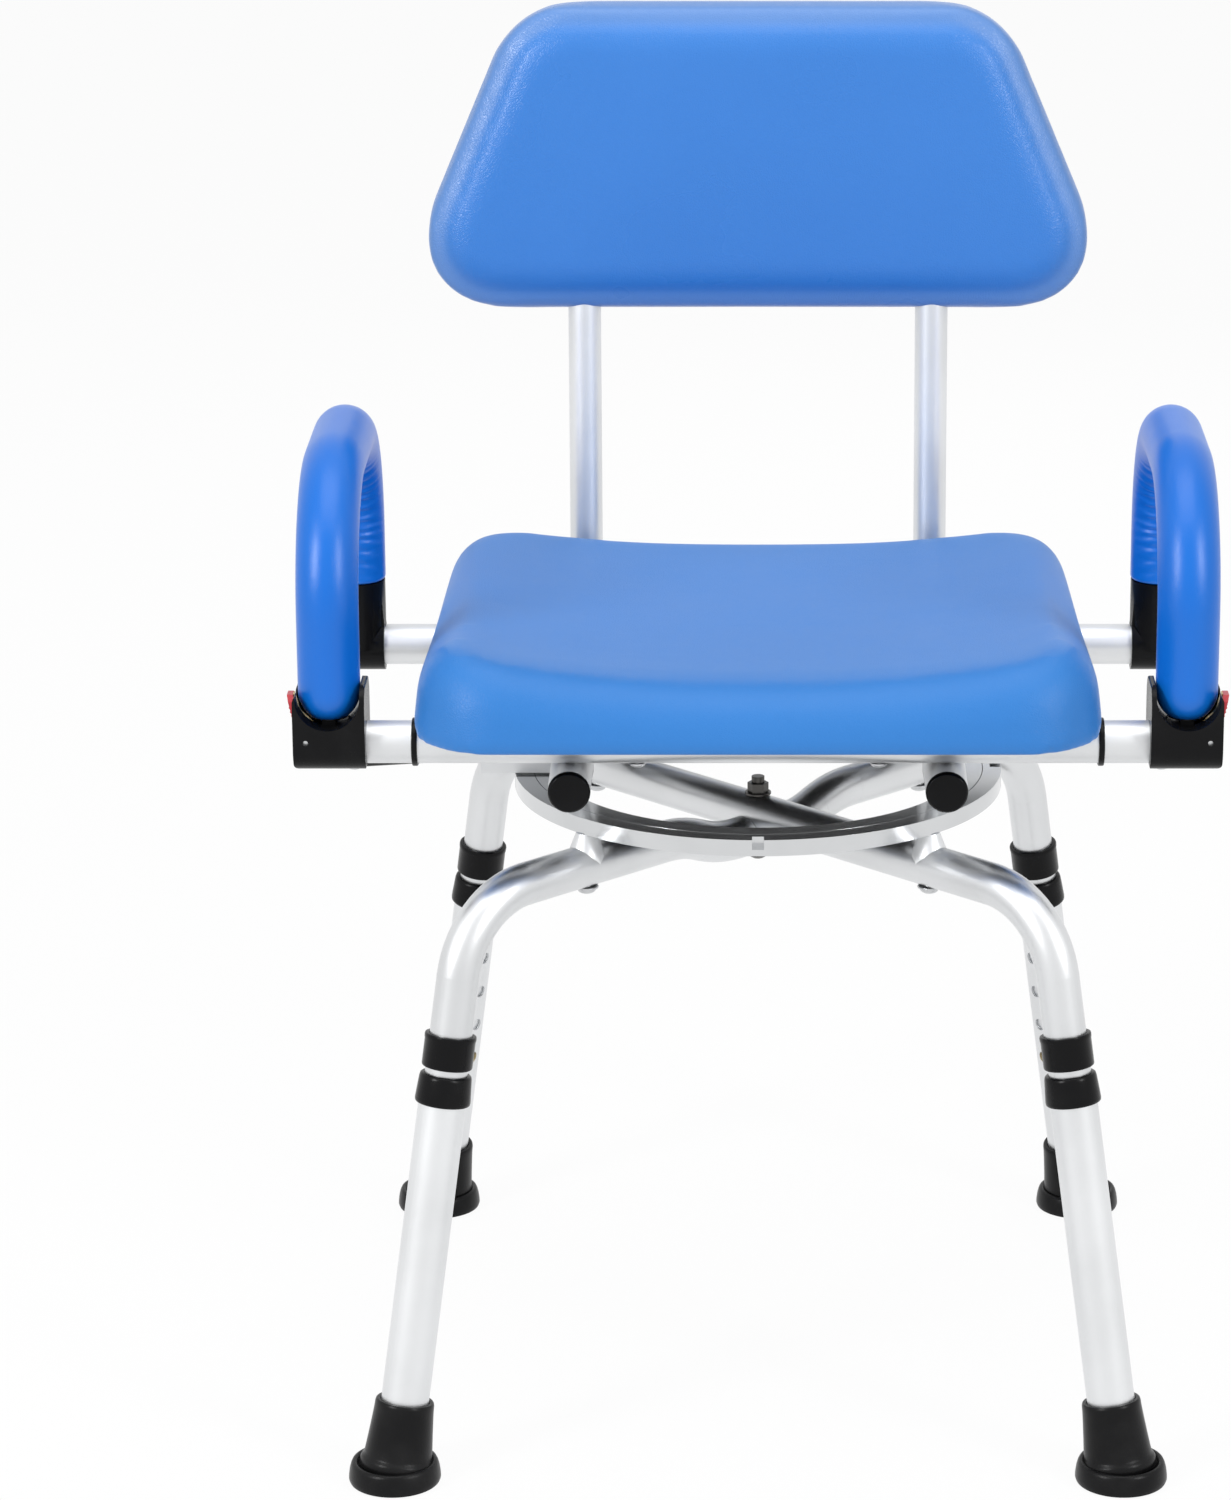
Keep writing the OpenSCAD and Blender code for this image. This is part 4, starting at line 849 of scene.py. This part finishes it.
@dataclass
class ArmSleeve:
    """Foam sleeve bent over an arm loop, creased inside its bends."""

    side: Side
    x: float = 0.253
    front: float = CROSS_FRONT
    rear: float = CROSS_REAR
    top: float = 0.58256
    bend: float = 0.075
    radius: float = 0.0185
    front_end: float = 0.46256
    rear_end: float = 0.47396
    around: int = 48
    dome_steps: int = 9
    tuck: float = 0.002
    rear_folds: float = 0.0017
    front_folds: float = 0.0004

    def build(self, palette: Palette) -> bpy.types.Object:
        """Builds one arm's sleeve.

        Args:
            palette: The shared finishes.

        Returns:
            The sleeve's piece.
        """
        bm = bmesh.new()
        x = self.side.value * self.x
        bend_z = self.top - self.bend
        start = bmesh.ops.create_circle(bm, segments=self.around, radius=self.radius)["verts"]
        bmesh.ops.translate(bm, verts=start, vec=(x, self.front, self.front_end))
        loop = list({e for v in start for e in v.link_edges})
        self._dome(bm, loop, Vector((x, self.front, self.front_end)))
        loop = self._run(bm, loop, Vector((0, 0, bend_z - self.front_end)), 10)
        loop = self._turn(bm, loop, Vector((x, self.front + self.bend, bend_z)), 24)
        loop = self._run(bm, loop, Vector((0, self.rear - self.front - 2 * self.bend, 0)), 12)
        loop = self._turn(bm, loop, Vector((x, self.rear - self.bend, bend_z)), 96)
        loop = self._run(bm, loop, Vector((0, 0, self.rear_end + self.tuck - bend_z)), 26)
        self._lip(bm, loop, Vector((x, self.rear, self.rear_end)))
        self._crease(bm)
        piece = to_object(bm, f"arm_sleeve_{self.side.word}", palette.get(SLEEVE_SKIN), 180)
        subdivide(piece)
        place(piece, f"arm_{self.side.word}", (f"arm_pad_{self.side.word}",))
        return piece

    def _run(self, bm: bmesh.types.BMesh, loop: list, step: Vector, parts: int) -> list:
        """Extrudes the open end straight on.

        Args:
            bm: Mesh that holds the sleeve.
            loop: Edges of the open end.
            step: How far it goes.
            parts: In how many steps.

        Returns:
            Edges of the new end.
        """
        for _ in range(parts):
            verts, loop = drawn_on(bm, loop)
            bmesh.ops.translate(bm, verts=verts, vec=step / parts)
        return loop

    def _turn(self, bm: bmesh.types.BMesh, loop: list, centre: Vector, steps: int) -> list:
        """Spins the open end a quarter turn about an axis along X.

        Args:
            bm: Mesh that holds the sleeve.
            loop: Edges of the open end.
            centre: Middle of the bend.
            steps: In how many steps.

        Returns:
            Edges of the new end.
        """
        verts = list({v for e in loop for v in e.verts})
        made = bmesh.ops.spin(bm, geom=verts + loop, cent=centre, axis=(-1, 0, 0), angle=math.pi / 2,
                              steps=steps)
        return [g for g in made["geom_last"] if isinstance(g, bmesh.types.BMEdge)]

    def _dome(self, bm: bmesh.types.BMesh, loop: list, centre: Vector) -> None:
        """Closes the front end with a half ball.

        Args:
            bm: Mesh that holds the sleeve.
            loop: Edges of the open end.
            centre: Middle of the ball.
        """
        for i in range(1, self.dome_steps):
            verts, loop = drawn_on(bm, loop)
            angle = math.pi / 2 * i / self.dome_steps
            self._narrow(verts, centre, self.radius * math.cos(angle), -self.radius * math.sin(angle))
        bmesh.ops.edgeloop_fill(bm, edges=loop)

    def _lip(self, bm: bmesh.types.BMesh, loop: list, centre: Vector) -> None:
        """Rolls the rear end in to meet the elbow.

        Args:
            bm: Mesh that holds the sleeve.
            loop: Edges of the open end.
            centre: Middle of the end.
        """
        for inset, drop in ((0.0006, 0.0012), (0.0016, 0.0020), (0.0060, 0.0020)):
            verts, loop = drawn_on(bm, loop)
            self._narrow(verts, centre, self.radius - inset, self.tuck - drop)
        bmesh.ops.edgeloop_fill(bm, edges=loop)

    @staticmethod
    def _narrow(verts: list, centre: Vector, radius: float, rise: float) -> None:
        """Sets a level ring of points to a radius and a height about a centre.

        Args:
            verts: The ring's vertices.
            centre: The centre.
            radius: Their new distance from its upright axis.
            rise: Their new height over it.
        """
        for v in verts:
            flat = Vector((v.co.x - centre.x, v.co.y - centre.y, 0)).normalized()
            v.co = centre + flat * radius + Vector((0, 0, rise))

    def _crease(self, bm: bmesh.types.BMesh) -> None:
        """Presses shallow folds into the inside of both bends.

        Args:
            bm: Mesh that holds the sleeve.
        """
        bend_z = self.top - self.bend
        for centre_y, depth in ((self.rear - self.bend, self.rear_folds),
                                (self.front + self.bend, self.front_folds)):
            for v in bm.verts:
                arm = Vector((v.co.y - centre_y, v.co.z - bend_z))
                outward = arm.x if centre_y > 0 else -arm.x
                radius = arm.length
                inner = (self.bend - max(outward, radius if arm.y > 0 else outward)) / self.radius
                if outward < 0.004 or arm.y < -0.03 or inner < 0.1:
                    continue
                angle = math.degrees(math.atan2(arm.y, outward))
                fade = max(0.0, 1 - ((angle - 14) / 46) ** 2)
                turn = math.radians(angle)
                wave = math.sin(turn * 58 + 1.3 * math.sin(turn * 13) + 22 * v.co.x)
                ripple = math.sin(turn * 97 + 2.0) * math.sin(260 * (v.co.x - self.side.value * self.x))
                push = depth * min(1.0, inner) ** 1.4 * fade * (0.55 + 0.35 * wave + 0.2 * ripple)
                v.co.y = centre_y + arm.x * (radius + push) / radius
                v.co.z = bend_z + arm.y * (radius + push) / radius


# Feet and fittings


@dataclass
class Foot:
    """Rubber foot: ribbed flange flat on the floor, with a moat around the leaning sleeve."""

    corner: Corner
    flange: float = 0.0275
    sleeve_top: float = 0.05
    bore: float = 0.01434

    def build(self, palette: Palette) -> bpy.types.Object:
        """Builds one foot.

        Args:
            palette: The shared finishes.

        Returns:
            The foot's piece.
        """
        bm = bmesh.new()
        r, top = self.flange, self.sleeve_top
        disc = turned(bm, [
            (0.0, 0.0008), (0.011, 0.0008), (0.0116, 0.0), (0.0164, 0.0), (0.017, 0.0008), (0.0196, 0.0008),
            (0.0202, 0.0), (r - 0.002, 0.0), (r - 0.0006, 0.0006), (r, 0.0022), (r - 0.0001, 0.0045),
            (r - 0.0006, 0.0082), (r - 0.0014, 0.0112), (r - 0.0022, 0.0128), (r - 0.0034, 0.0134),
            (r - 0.0044, 0.0132), (r - 0.0052, 0.0126), (r - 0.0057, 0.0118), (r - 0.0068, 0.0113),
            (0.0, 0.0113)], 72)
        lean = Matrix.Rotation(math.radians(-LEG_LEAN), 4, "Y")
        move(bm, disc, on_leg(self.corner) @ lean.inverted())
        inner = self.bore + 0.0002
        sleeve = turned(bm, [
            (0.0, 0.008), (0.0222, 0.008), (0.0225, 0.0100), (0.0224, 0.0128), (0.0218, 0.0142),
            (0.0209, 0.0150), (0.0204, 0.0164), (0.0200, 0.020), (0.0192, 0.028), (0.0184, 0.037),
            (0.0178, top - 0.0055), (0.0177, top - 0.0022), (0.0174, top - 0.0008), (0.0168, top - 0.0001),
            (inner + 0.0006, top), (inner, top - 0.0006), (inner, top - 0.006), (0.0, top - 0.006)], 72)
        move(bm, sleeve, on_leg(self.corner))
        word = self.corner.word
        piece = to_object(bm, f"rubber_foot_{word}", palette.get(RUBBER), 40)
        return place(piece, f"leg_{word}", (f"foot_{word}",))


@dataclass
class LegCollars:
    """The four moulded collars on the frame tubes above the leg joints."""

    bore: float = 0.01276
    low: float = 0.255
    high: float = 0.275

    def build(self, palette: Palette) -> bpy.types.Object:
        """Builds the collars as one piece.

        Args:
            palette: The shared finishes.

        Returns:
            The collars' piece.
        """
        bm = bmesh.new()
        low, high = self.low, self.high
        for corner in Corner:
            verts = turned(bm, [
                (self.bore, low), (0.0144, low), (0.0149, low + 0.0004), (0.0151, low + 0.0012),
                (0.0151, high - 0.0036), (0.01535, high - 0.0028), (0.01545, high - 0.0012),
                (0.0152, high - 0.0003), (0.0146, high), (0.0132, high), (self.bore, high - 0.0004)],
                64, ring=True)
            move(bm, verts, on_leg(corner))
        piece = to_object(bm, "moulded_collars", palette.get(BLACK), 40)
        return place(piece, "base", ("leg_collars",))


@dataclass
class LegBushing:
    """Flared bushing pressed over the top of a lower leg tube."""

    corner: Corner
    bore: float = 0.01434
    lip: float = 0.01278
    low: float = 0.233
    high: float = 0.251

    def build(self, palette: Palette) -> bpy.types.Object:
        """Builds one bushing.

        Args:
            palette: The shared finishes.

        Returns:
            The bushing's piece.
        """
        bm = bmesh.new()
        low, high = self.low, self.high
        verts = turned(bm, [
            (self.bore, low), (0.0158, low), (0.0164, low + 0.0006), (0.01658, low + 0.0020),
            (0.0163, low + 0.006), (0.01595, low + 0.011), (0.0156, high - 0.0025), (0.0152, high - 0.0008),
            (0.0144, high - 0.0001), (0.0132, high), (self.lip, high - 0.0003), (self.lip, high - 0.002),
            (self.bore, high - 0.002)], 64, ring=True)
        move(bm, verts, on_leg(self.corner))
        word = self.corner.word
        piece = to_object(bm, f"flared_bushing_{word}", palette.get(BLACK), 40)
        return place(piece, f"leg_{word}", (f"leg_bushing_{word}",))


@dataclass
class LockGrip:
    """Dipped grip on the lock lever, rounded all over by the dip."""

    inner: float = -0.0585
    outer: float = -0.1265
    half_w: float = 0.0145
    half_t: float = 0.0045
    corner: float = 0.0085
    edge: float = 0.0038
    slope: float = 3.5

    def build(self, palette: Palette) -> bpy.types.Object:
        """Builds the grip.

        Args:
            palette: The shared finishes.

        Returns:
            The grip's piece.
        """
        bm = bmesh.new()
        w, t = self.half_w, self.half_t
        bm.faces.new([bm.verts.new(p) for p in (
            (self.outer, -w, -t), (self.inner, -w, -t), (self.inner, w, -t), (self.outer, w, -t))])
        bmesh.ops.bevel(bm, geom=list(bm.verts), offset=self.corner, offset_type="OFFSET", segments=8,
                        profile=0.5, affect="VERTICES", material=-1)
        made = bmesh.ops.extrude_face_region(bm, geom=list(bm.faces))
        top = [v for v in made["geom"] if isinstance(v, bmesh.types.BMVert)]
        bmesh.ops.translate(bm, verts=top, vec=(0, 0, 2 * t))
        bmesh.ops.recalc_face_normals(bm, faces=bm.faces)
        flat = [e for e in bm.edges if abs(e.verts[0].co.z - e.verts[1].co.z) < 1e-6]
        bmesh.ops.bevel(bm, geom=flat, offset=self.edge, offset_type="OFFSET", segments=6, profile=0.5,
                        affect="EDGES", material=-1)
        turn = Matrix.Rotation(math.radians(-self.slope), 4, "Y")
        move(bm, list(bm.verts), Matrix.Translation(LEVER) @ turn)
        piece = to_object(bm, "dipped_lock_grip", palette.get(DIP), 60)
        return place(piece, "lock_lever", ("lock_grip",))


@dataclass
class LockSpring:
    """Coiled wire between the lock box and the lever."""

    x: float = -0.150
    radius: float = 0.0056
    wire: float = 0.0014
    coils: int = 8
    low: float = 0.39459
    high: float = 0.43546
    steps: int = 24

    def build(self, palette: Palette) -> bpy.types.Object:
        """Builds the spring.

        Args:
            palette: The shared finishes.

        Returns:
            The spring's piece.
        """
        bm = bmesh.new()
        r = self.wire / 2
        verts = bmesh.ops.create_circle(bm, segments=10, radius=r)["verts"]
        stand = Matrix.Rotation(math.pi / 2, 4, "X")
        move(bm, verts, Matrix.Translation((self.x + self.radius, 0, self.low + r)) @ stand)
        total = self.coils * self.steps
        climb = Vector((0, 0, (self.high - self.low - self.wire) / total))
        bmesh.ops.spin(bm, geom=list(bm.verts) + list(bm.edges), cent=(self.x, 0, 0), axis=(0, 0, 1),
                       dvec=climb, angle=math.tau * self.coils, steps=total)
        bmesh.ops.holes_fill(bm, edges=[e for e in bm.edges if len(e.link_faces) == 1])
        piece = to_object(bm, "lock_coil", palette.get(BRASS), 50)
        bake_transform(piece)
        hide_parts("lock_spring")
        LOG.info("%s bends between seat and lever", piece.name)
        return piece


@dataclass
class LatchLeaf:
    """Brass leaf behind a latch."""

    side: Side
    half_w: float = 0.003
    thick: float = 0.0006
    curve: tuple[tuple[float, float], ...] = (
        (-4.4, 4.7), (-2.2, 6.6), (0.2, 9.0), (2.5, 11.0), (4.1, 12.8), (5.2, 14.6), (6.2, 18.0), (7.1, 21.4),
        (7.9, 24.4), (8.05, 25.1))

    def build(self, palette: Palette) -> bpy.types.Object:
        """Builds one leaf.

        Args:
            palette: The shared finishes.

        Returns:
            The leaf's piece.
        """
        bm = bmesh.new()
        points = [self._at(*p) for p in self.curve]
        row = [bm.verts.new(points[0] + Vector((0, y, 0))) for y in (-self.half_w, 0, self.half_w)]
        loop = [bm.edges.new(pair) for pair in zip(row, row[1:])]
        for here, there in zip(points, points[1:]):
            verts, loop = drawn_on(bm, loop)
            bmesh.ops.translate(bm, verts=verts, vec=there - here)
        bm.normal_update()
        top = max(bm.faces, key=lambda face: face.calc_center_median().z)
        if top.normal.x * self.side.value < 0:
            bmesh.ops.reverse_faces(bm, faces=bm.faces)
        bmesh.ops.solidify(bm, geom=list(bm.faces), thickness=self.thick)  # inward from the latch's back
        word = self.side.word
        piece = to_object(bm, f"latch_leaf_{word}", palette.get(BRASS), 40)
        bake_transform(piece)
        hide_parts("latch_springs")
        LOG.info("%s bends between seat and latch", piece.name)
        return piece

    def _at(self, out: float, up: float) -> Vector:
        """Returns a point in the latch's plane, from millimetres out from its pin and up."""
        x, y, z = LATCH
        return Vector((self.side.value * (x + out / 1000), y, z + up / 1000))


@dataclass
class ScrewSet:
    """Domed screws of one node, each with a six-sided socket and, where asked, a washer."""

    node: str
    body: str
    shank: float
    head: float
    rise: float
    places: list[tuple[Matrix, float]]
    washer: float = 0.0
    key: float = 0.42

    def build(self, palette: Palette) -> bpy.types.Object:
        """Builds the screws as one piece.

        Args:
            palette: The shared finishes.

        Returns:
            The screws' piece.
        """
        bm = bmesh.new()
        for at, length in self.places:
            verts = turned(bm, self._profile(length), 36)
            self._socket(verts)
            if self.washer:
                verts += turned(bm, self._washer_profile(), 36, ring=True)
            move(bm, verts, at)
        piece = to_object(bm, f"{self.node}_domed", palette.get(ZINC), 40)
        return place(piece, self.body, (self.node,))

    def _profile(self, length: float) -> list[tuple[float, float]]:
        """Draws a screw whose head hangs below its seat at zero.

        Args:
            length: The shank's length.

        Returns:
            The outline's points of radius and height.
        """
        key, tip = self.key * self.head, 0.25 * self.shank
        dome = [(self.head * math.sin(a), -self.rise * (0.2 + 0.8 * math.cos(a)))
                for a in (0.56, 0.78, 1.0, 1.2, 1.38, math.pi / 2)]
        return [(0.0, -0.45 * self.rise), (key, -0.45 * self.rise), (key, -0.86 * self.rise), *dome,
                (0.97 * self.head, 0.0), (self.shank, 0.0), (self.shank, length - tip),
                (self.shank - tip, length), (0.0, length)]

    def _washer_profile(self) -> list[tuple[float, float]]:
        """Returns the section of the washer on top of the head."""
        out, t = self.head + 0.0016, self.washer
        return [(self.shank, 0.0001), (out - 0.0004, 0.0001), (out, 0.0004), (out, t - 0.0003),
                (out - 0.0003, t), (self.shank, t)]

    def _socket(self, verts: list[bmesh.types.BMVert]) -> None:
        """Turns the round recess of the head into a six-sided one.

        Args:
            verts: The screw's vertices.
        """
        key = self.key * self.head
        for v in verts:
            if v.co.z < 0 and abs(math.hypot(v.co.x, v.co.y) - key) < 1e-6:
                turn = math.atan2(v.co.y, v.co.x) % (math.pi / 3) - math.pi / 6
                v.co.x *= math.cos(math.pi / 6) / math.cos(turn)
                v.co.y *= math.cos(math.pi / 6) / math.cos(turn)


@dataclass
class RoundedCopy:
    """A rigid node drawn again with its sharp edges rounded."""

    node: str
    finish: SatinMetal | MouldedPlastic
    edge: float
    segments: int = 2
    sharp: float = 35.0

    def build(self, chair: "SwivelBathChair") -> bpy.types.Object:
        """Builds the rounded copy.

        Args:
            chair: The chair, which knows the node's body, slot and mesh.

        Returns:
            The piece.
        """
        bm = bmesh.new()
        bm.from_mesh(chair.frame["nodes"][self.node].data)
        bmesh.ops.remove_doubles(bm, verts=bm.verts, dist=2e-6)
        bmesh.ops.dissolve_limit(bm, angle_limit=math.radians(0.6), verts=bm.verts, edges=bm.edges)
        least = math.radians(self.sharp)
        edges = [e for e in bm.edges if e.is_manifold and e.is_convex and e.calc_face_angle() > least]
        bmesh.ops.bevel(bm, geom=edges, offset=self.edge, offset_type="OFFSET", segments=self.segments,
                        profile=0.5, affect="EDGES", clamp_overlap=True, material=-1)
        piece = to_object(bm, f"{self.node}_rounded", chair.palette.get(self.finish), 38)
        even = piece.modifiers.new("even_shading", "WEIGHTED_NORMAL")
        even.keep_sharp = True
        return place(piece, chair.bodies[self.node], (self.node,))


# Studio


@dataclass
class Studio:
    """Pale floor, soft light and the camera at the photograph's place."""

    eye: tuple[float, float, float] = (0.0, -2.95, 1.29)
    pitch: float = 16.97
    lens: float = 120.0
    shift: float = -0.0950
    floor_clear: float = 0.95
    ambient: float = 0.27

    def build(self) -> None:
        """Adds floor, light, world and camera."""
        self._floor()
        self._world()
        self._lamp("left_box", (-1.9, -1.7, 1.75), (0, 0, 0.5), (0.55, 1.2), 40.0)
        self._lamp("right_box", (1.9, -1.7, 1.75), (0, 0, 0.5), (0.55, 1.2), 30.0)
        self._lamp("top_box", (0.0, -0.3, 2.7), (0, 0, 0.4), (2.0, 1.8), 25.0)
        self._lamp("rear_box", (0.5, 2.6, 1.5), (0, 0, 0.5), (1.6, 1.2), 17.0).visible_glossy = False
        data = bpy.data.cameras.new("camera")
        data.lens = self.lens
        data.sensor_width = 36.0
        data.shift_x = self.shift
        camera = bpy.data.objects.new("camera", data)
        camera.location = self.eye
        camera.rotation_euler = (math.radians(90 - self.pitch), 0, 0)
        bpy.context.scene.collection.objects.link(camera)
        bpy.context.scene.camera = camera
        bpy.context.scene.view_settings.view_transform = "Standard"

    def _lamp(self, name: str, at: tuple, aim: tuple, size: tuple[float, float],
              watts: float) -> bpy.types.Object:
        """Adds a soft box aimed at a point.

        Args:
            name: The lamp's name.
            at: Its place.
            aim: The point that it faces.
            size: Its width and height.
            watts: Its power.

        Returns:
            The lamp.
        """
        data = bpy.data.lights.new(name, "AREA")
        data.shape = "RECTANGLE"
        data.size, data.size_y = size
        data.energy = watts
        lamp = bpy.data.objects.new(name, data)
        lamp.location = at
        lamp.rotation_euler = (Vector(aim) - Vector(at)).to_track_quat("-Z", "Y").to_euler()
        bpy.context.scene.collection.objects.link(lamp)
        return lamp

    def _floor(self) -> None:
        """Adds a floor that keeps the shadow, while the surround and a let-down leg show through it."""
        bm = bmesh.new()
        bmesh.ops.create_grid(bm, x_segments=2, y_segments=2, size=30)
        sheet = NodeSheet("pale_floor")
        sheet.shader.inputs["Base Color"].default_value = (0.93, 0.93, 0.93, 1)
        sheet.shader.inputs["Roughness"].default_value = 0.9
        sheet.shader.inputs["Specular IOR Level"].default_value = 0.0
        clear = sheet.add("ShaderNodeBsdfTransparent")
        mix = sheet.add("ShaderNodeMixShader")
        path = sheet.add("ShaderNodeLightPath")
        share = sheet.add("ShaderNodeMath", operation="MULTIPLY")
        share.inputs[1].default_value = self.floor_clear
        seen = sheet.add("ShaderNodeMath", operation="MAXIMUM")
        sheet.join(path, "Is Camera Ray", seen, 0)
        sheet.join(path, "Is Glossy Ray", seen, 1)
        sheet.join(seen, "Value", share, 0)
        sheet.join(share, "Value", mix, "Fac")
        sheet.join(sheet.shader, "BSDF", mix, 1)
        sheet.join(clear, "BSDF", mix, 2)
        output = next(n for n in sheet.tree.nodes if n.type == "OUTPUT_MATERIAL")
        sheet.join(mix, "Shader", output, "Surface")
        floor = to_object(bm, "floor", sheet.material)
        floor.location.z = -0.0005

    def _world(self) -> None:
        """Sets a white surround that lights the chair softly."""
        world = bpy.data.worlds.new("white_surround")
        bpy.context.scene.world = world
        world.use_nodes = True
        tree = world.node_tree
        back = tree.nodes["Background"]
        back.inputs["Color"].default_value = (1, 1, 1, 1)
        path = tree.nodes.new("ShaderNodeLightPath")
        seen = tree.nodes.new("ShaderNodeMath")
        seen.operation = "MAXIMUM"
        level = tree.nodes.new("ShaderNodeMapRange")
        level.inputs["To Min"].default_value = self.ambient
        level.inputs["To Max"].default_value = 1.0
        tree.links.new(path.outputs["Is Camera Ray"], seen.inputs[0])
        tree.links.new(path.outputs["Is Glossy Ray"], seen.inputs[1])
        tree.links.new(seen.outputs["Value"], level.inputs["Value"])
        tree.links.new(level.outputs["Result"], back.inputs["Strength"])


# Assembly


@dataclass
class SwivelBathChair:
    """The whole chair: dresses the frame's nodes and adds the drawn pieces."""

    frame: dict
    palette: Palette = field(default_factory=Palette)
    slots: dict[str, str] = field(init=False)
    bodies: dict[str, str] = field(init=False)

    PLAIN = {
        "aluminium": ALUMINIUM, "steel": ZINC, "brass": BRASS, "black_plastic": BLACK, "black_grip": DIP,
        "rubber": RUBBER, "blue_foam": SEAT_SKIN, "red_plastic": RED, "board": BOARD,
    }
    # The ring and cross-bolt finishes hold painted shade.
    SPECIAL = {
        "ring_inner": RING_METAL, "ring_outer": RING_METAL, "base_tube_upper": BENT_ALUMINIUM,
        "base_tube_lower": BENT_ALUMINIUM, "cross_bolt": SHADE_PAINTED_STEEL,
    }
    ROUNDED = {
        "ring_inner": 0.0006, "ring_outer": 0.0006, "arm_socket_left": 0.0012, "arm_socket_right": 0.0012,
        "arm_elbow_left": 0.0008, "arm_elbow_right": 0.0008, "latch_left": 0.0002, "latch_right": 0.0002,
        "lock_box": 0.0004, "lock_box_pad": 0.0008, "lock_lever": 0.0004, "runner_caps": 0.0006,
        "tube_grommets": 0.0008, "base_spacers": 0.0005, "seat_spacers": 0.0005, "cross_bolt": 0.0003,
    }

    def __post_init__(self) -> None:
        """Looks up each node's material slot and body."""
        record = self.frame["record"]
        self.slots = {part["node"]: part["material_slot"] for part in record["subparts"]}
        self.bodies = {node: body for body, nodes in record["behaviour"]["bodies"].items() for node in nodes}

    def finish(self, node: str) -> FoamSkin | SatinMetal | MouldedPlastic:
        """Returns the finish of a node."""
        return self.SPECIAL.get(node, self.PLAIN[self.slots[node]])

    def dress_nodes(self) -> None:
        """Gives every node the finish of its material slot."""
        for name, node in self.frame["nodes"].items():
            node.data.materials.clear()
            node.data.materials.append(self.palette.get(self.finish(name)))

    def add_pads(self) -> None:
        """Builds the seat, the backrest and the arm sleeves."""
        SeatPad().build(self.palette)
        BackPad().build(self.palette)
        for side in Side:
            ArmSleeve(side).build(self.palette)

    def add_fittings(self) -> None:
        """Builds the feet, collars, bushings, lock and latch springs and the rounded copies."""
        for corner in Corner:
            Foot(corner).build(self.palette)
            LegBushing(corner).build(self.palette)
        LegCollars().build(self.palette)
        LockGrip().build(self.palette)
        LockSpring().build(self.palette)
        for side in Side:
            LatchLeaf(side).build(self.palette)
        for node, edge in self.ROUNDED.items():
            RoundedCopy(node, self.finish(node), edge).build(self)

    def add_screws(self) -> None:
        """Builds the domed screws of the base, seat frame, backrest and arms."""
        flip = Matrix.Rotation(math.pi, 4, "X")
        under_base = Matrix.Translation((0.1454, 0, BASE_Z - TUBE_R - 0.0015))
        base = [(Matrix.Rotation(math.radians(c.value), 4, "Z") @ under_base, 0.0407) for c in Corner]
        ScrewSet("base_bolts", "base", 0.0028, 0.0056, 0.0034, base, washer=0.0015).build(self.palette)
        runners = [(Matrix.Translation((x, y, RUNNER_Z + TUBE_R)) @ flip, 0.0462)
                   for x in (-RUNNER_X, RUNNER_X) for y in (-0.0695, 0.0695)]
        ScrewSet("seat_bolts", "seat", 0.0028, 0.0056, 0.0034, runners).build(self.palette)
        frame = [((x, y, CROSS_Z - TUBE_R), 0.0316)
                 for x in (-0.0715, 0.0715) for y in (CROSS_FRONT, CROSS_REAR)]
        frame += [((x, CROSS_FRONT, 0.41706), 0.0062) for x in (-0.239, 0.239)]
        frame += [((x, 0.132, RUNNER_Z - TUBE_R), 0.0068) for x in (-RUNNER_X, RUNNER_X)]
        placed = [(Matrix.Translation(at), length) for at, length in frame]
        ScrewSet("frame_screws", "seat", 0.0025, 0.005, 0.003, placed).build(self.palette)
        lie = Matrix.Rotation(math.pi / 2, 4, "X")
        back = [(on_posts() @ Matrix.Translation((x, 0.022, 0.297)) @ lie, 0.0155)
                for x in (-RUNNER_X, RUNNER_X)]
        ScrewSet("backrest_screws", "seat", 0.0022, 0.0053, 0.0026, back).build(self.palette)
        arms = []
        for side in Side:
            inward = Matrix.Rotation(-side.value * math.pi / 2, 4, "Y")
            arms.append((Matrix.Translation((side.value * 0.2713, CROSS_REAR, CROSS_Z)) @ inward, 0.0251))
        ScrewSet("arm_pivot_bolts", "seat", 0.003, 0.0066, 0.003, arms).build(self.palette)


def main() -> None:
    """Builds the studio and the chair."""
    logging.basicConfig(level=logging.INFO, format="%(name)s: %(message)s")
    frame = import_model()
    Studio().build()
    chair = SwivelBathChair(frame)
    chair.dress_nodes()
    chair.add_pads()
    chair.add_fittings()
    chair.add_screws()


if __name__ == "__main__":
    main()
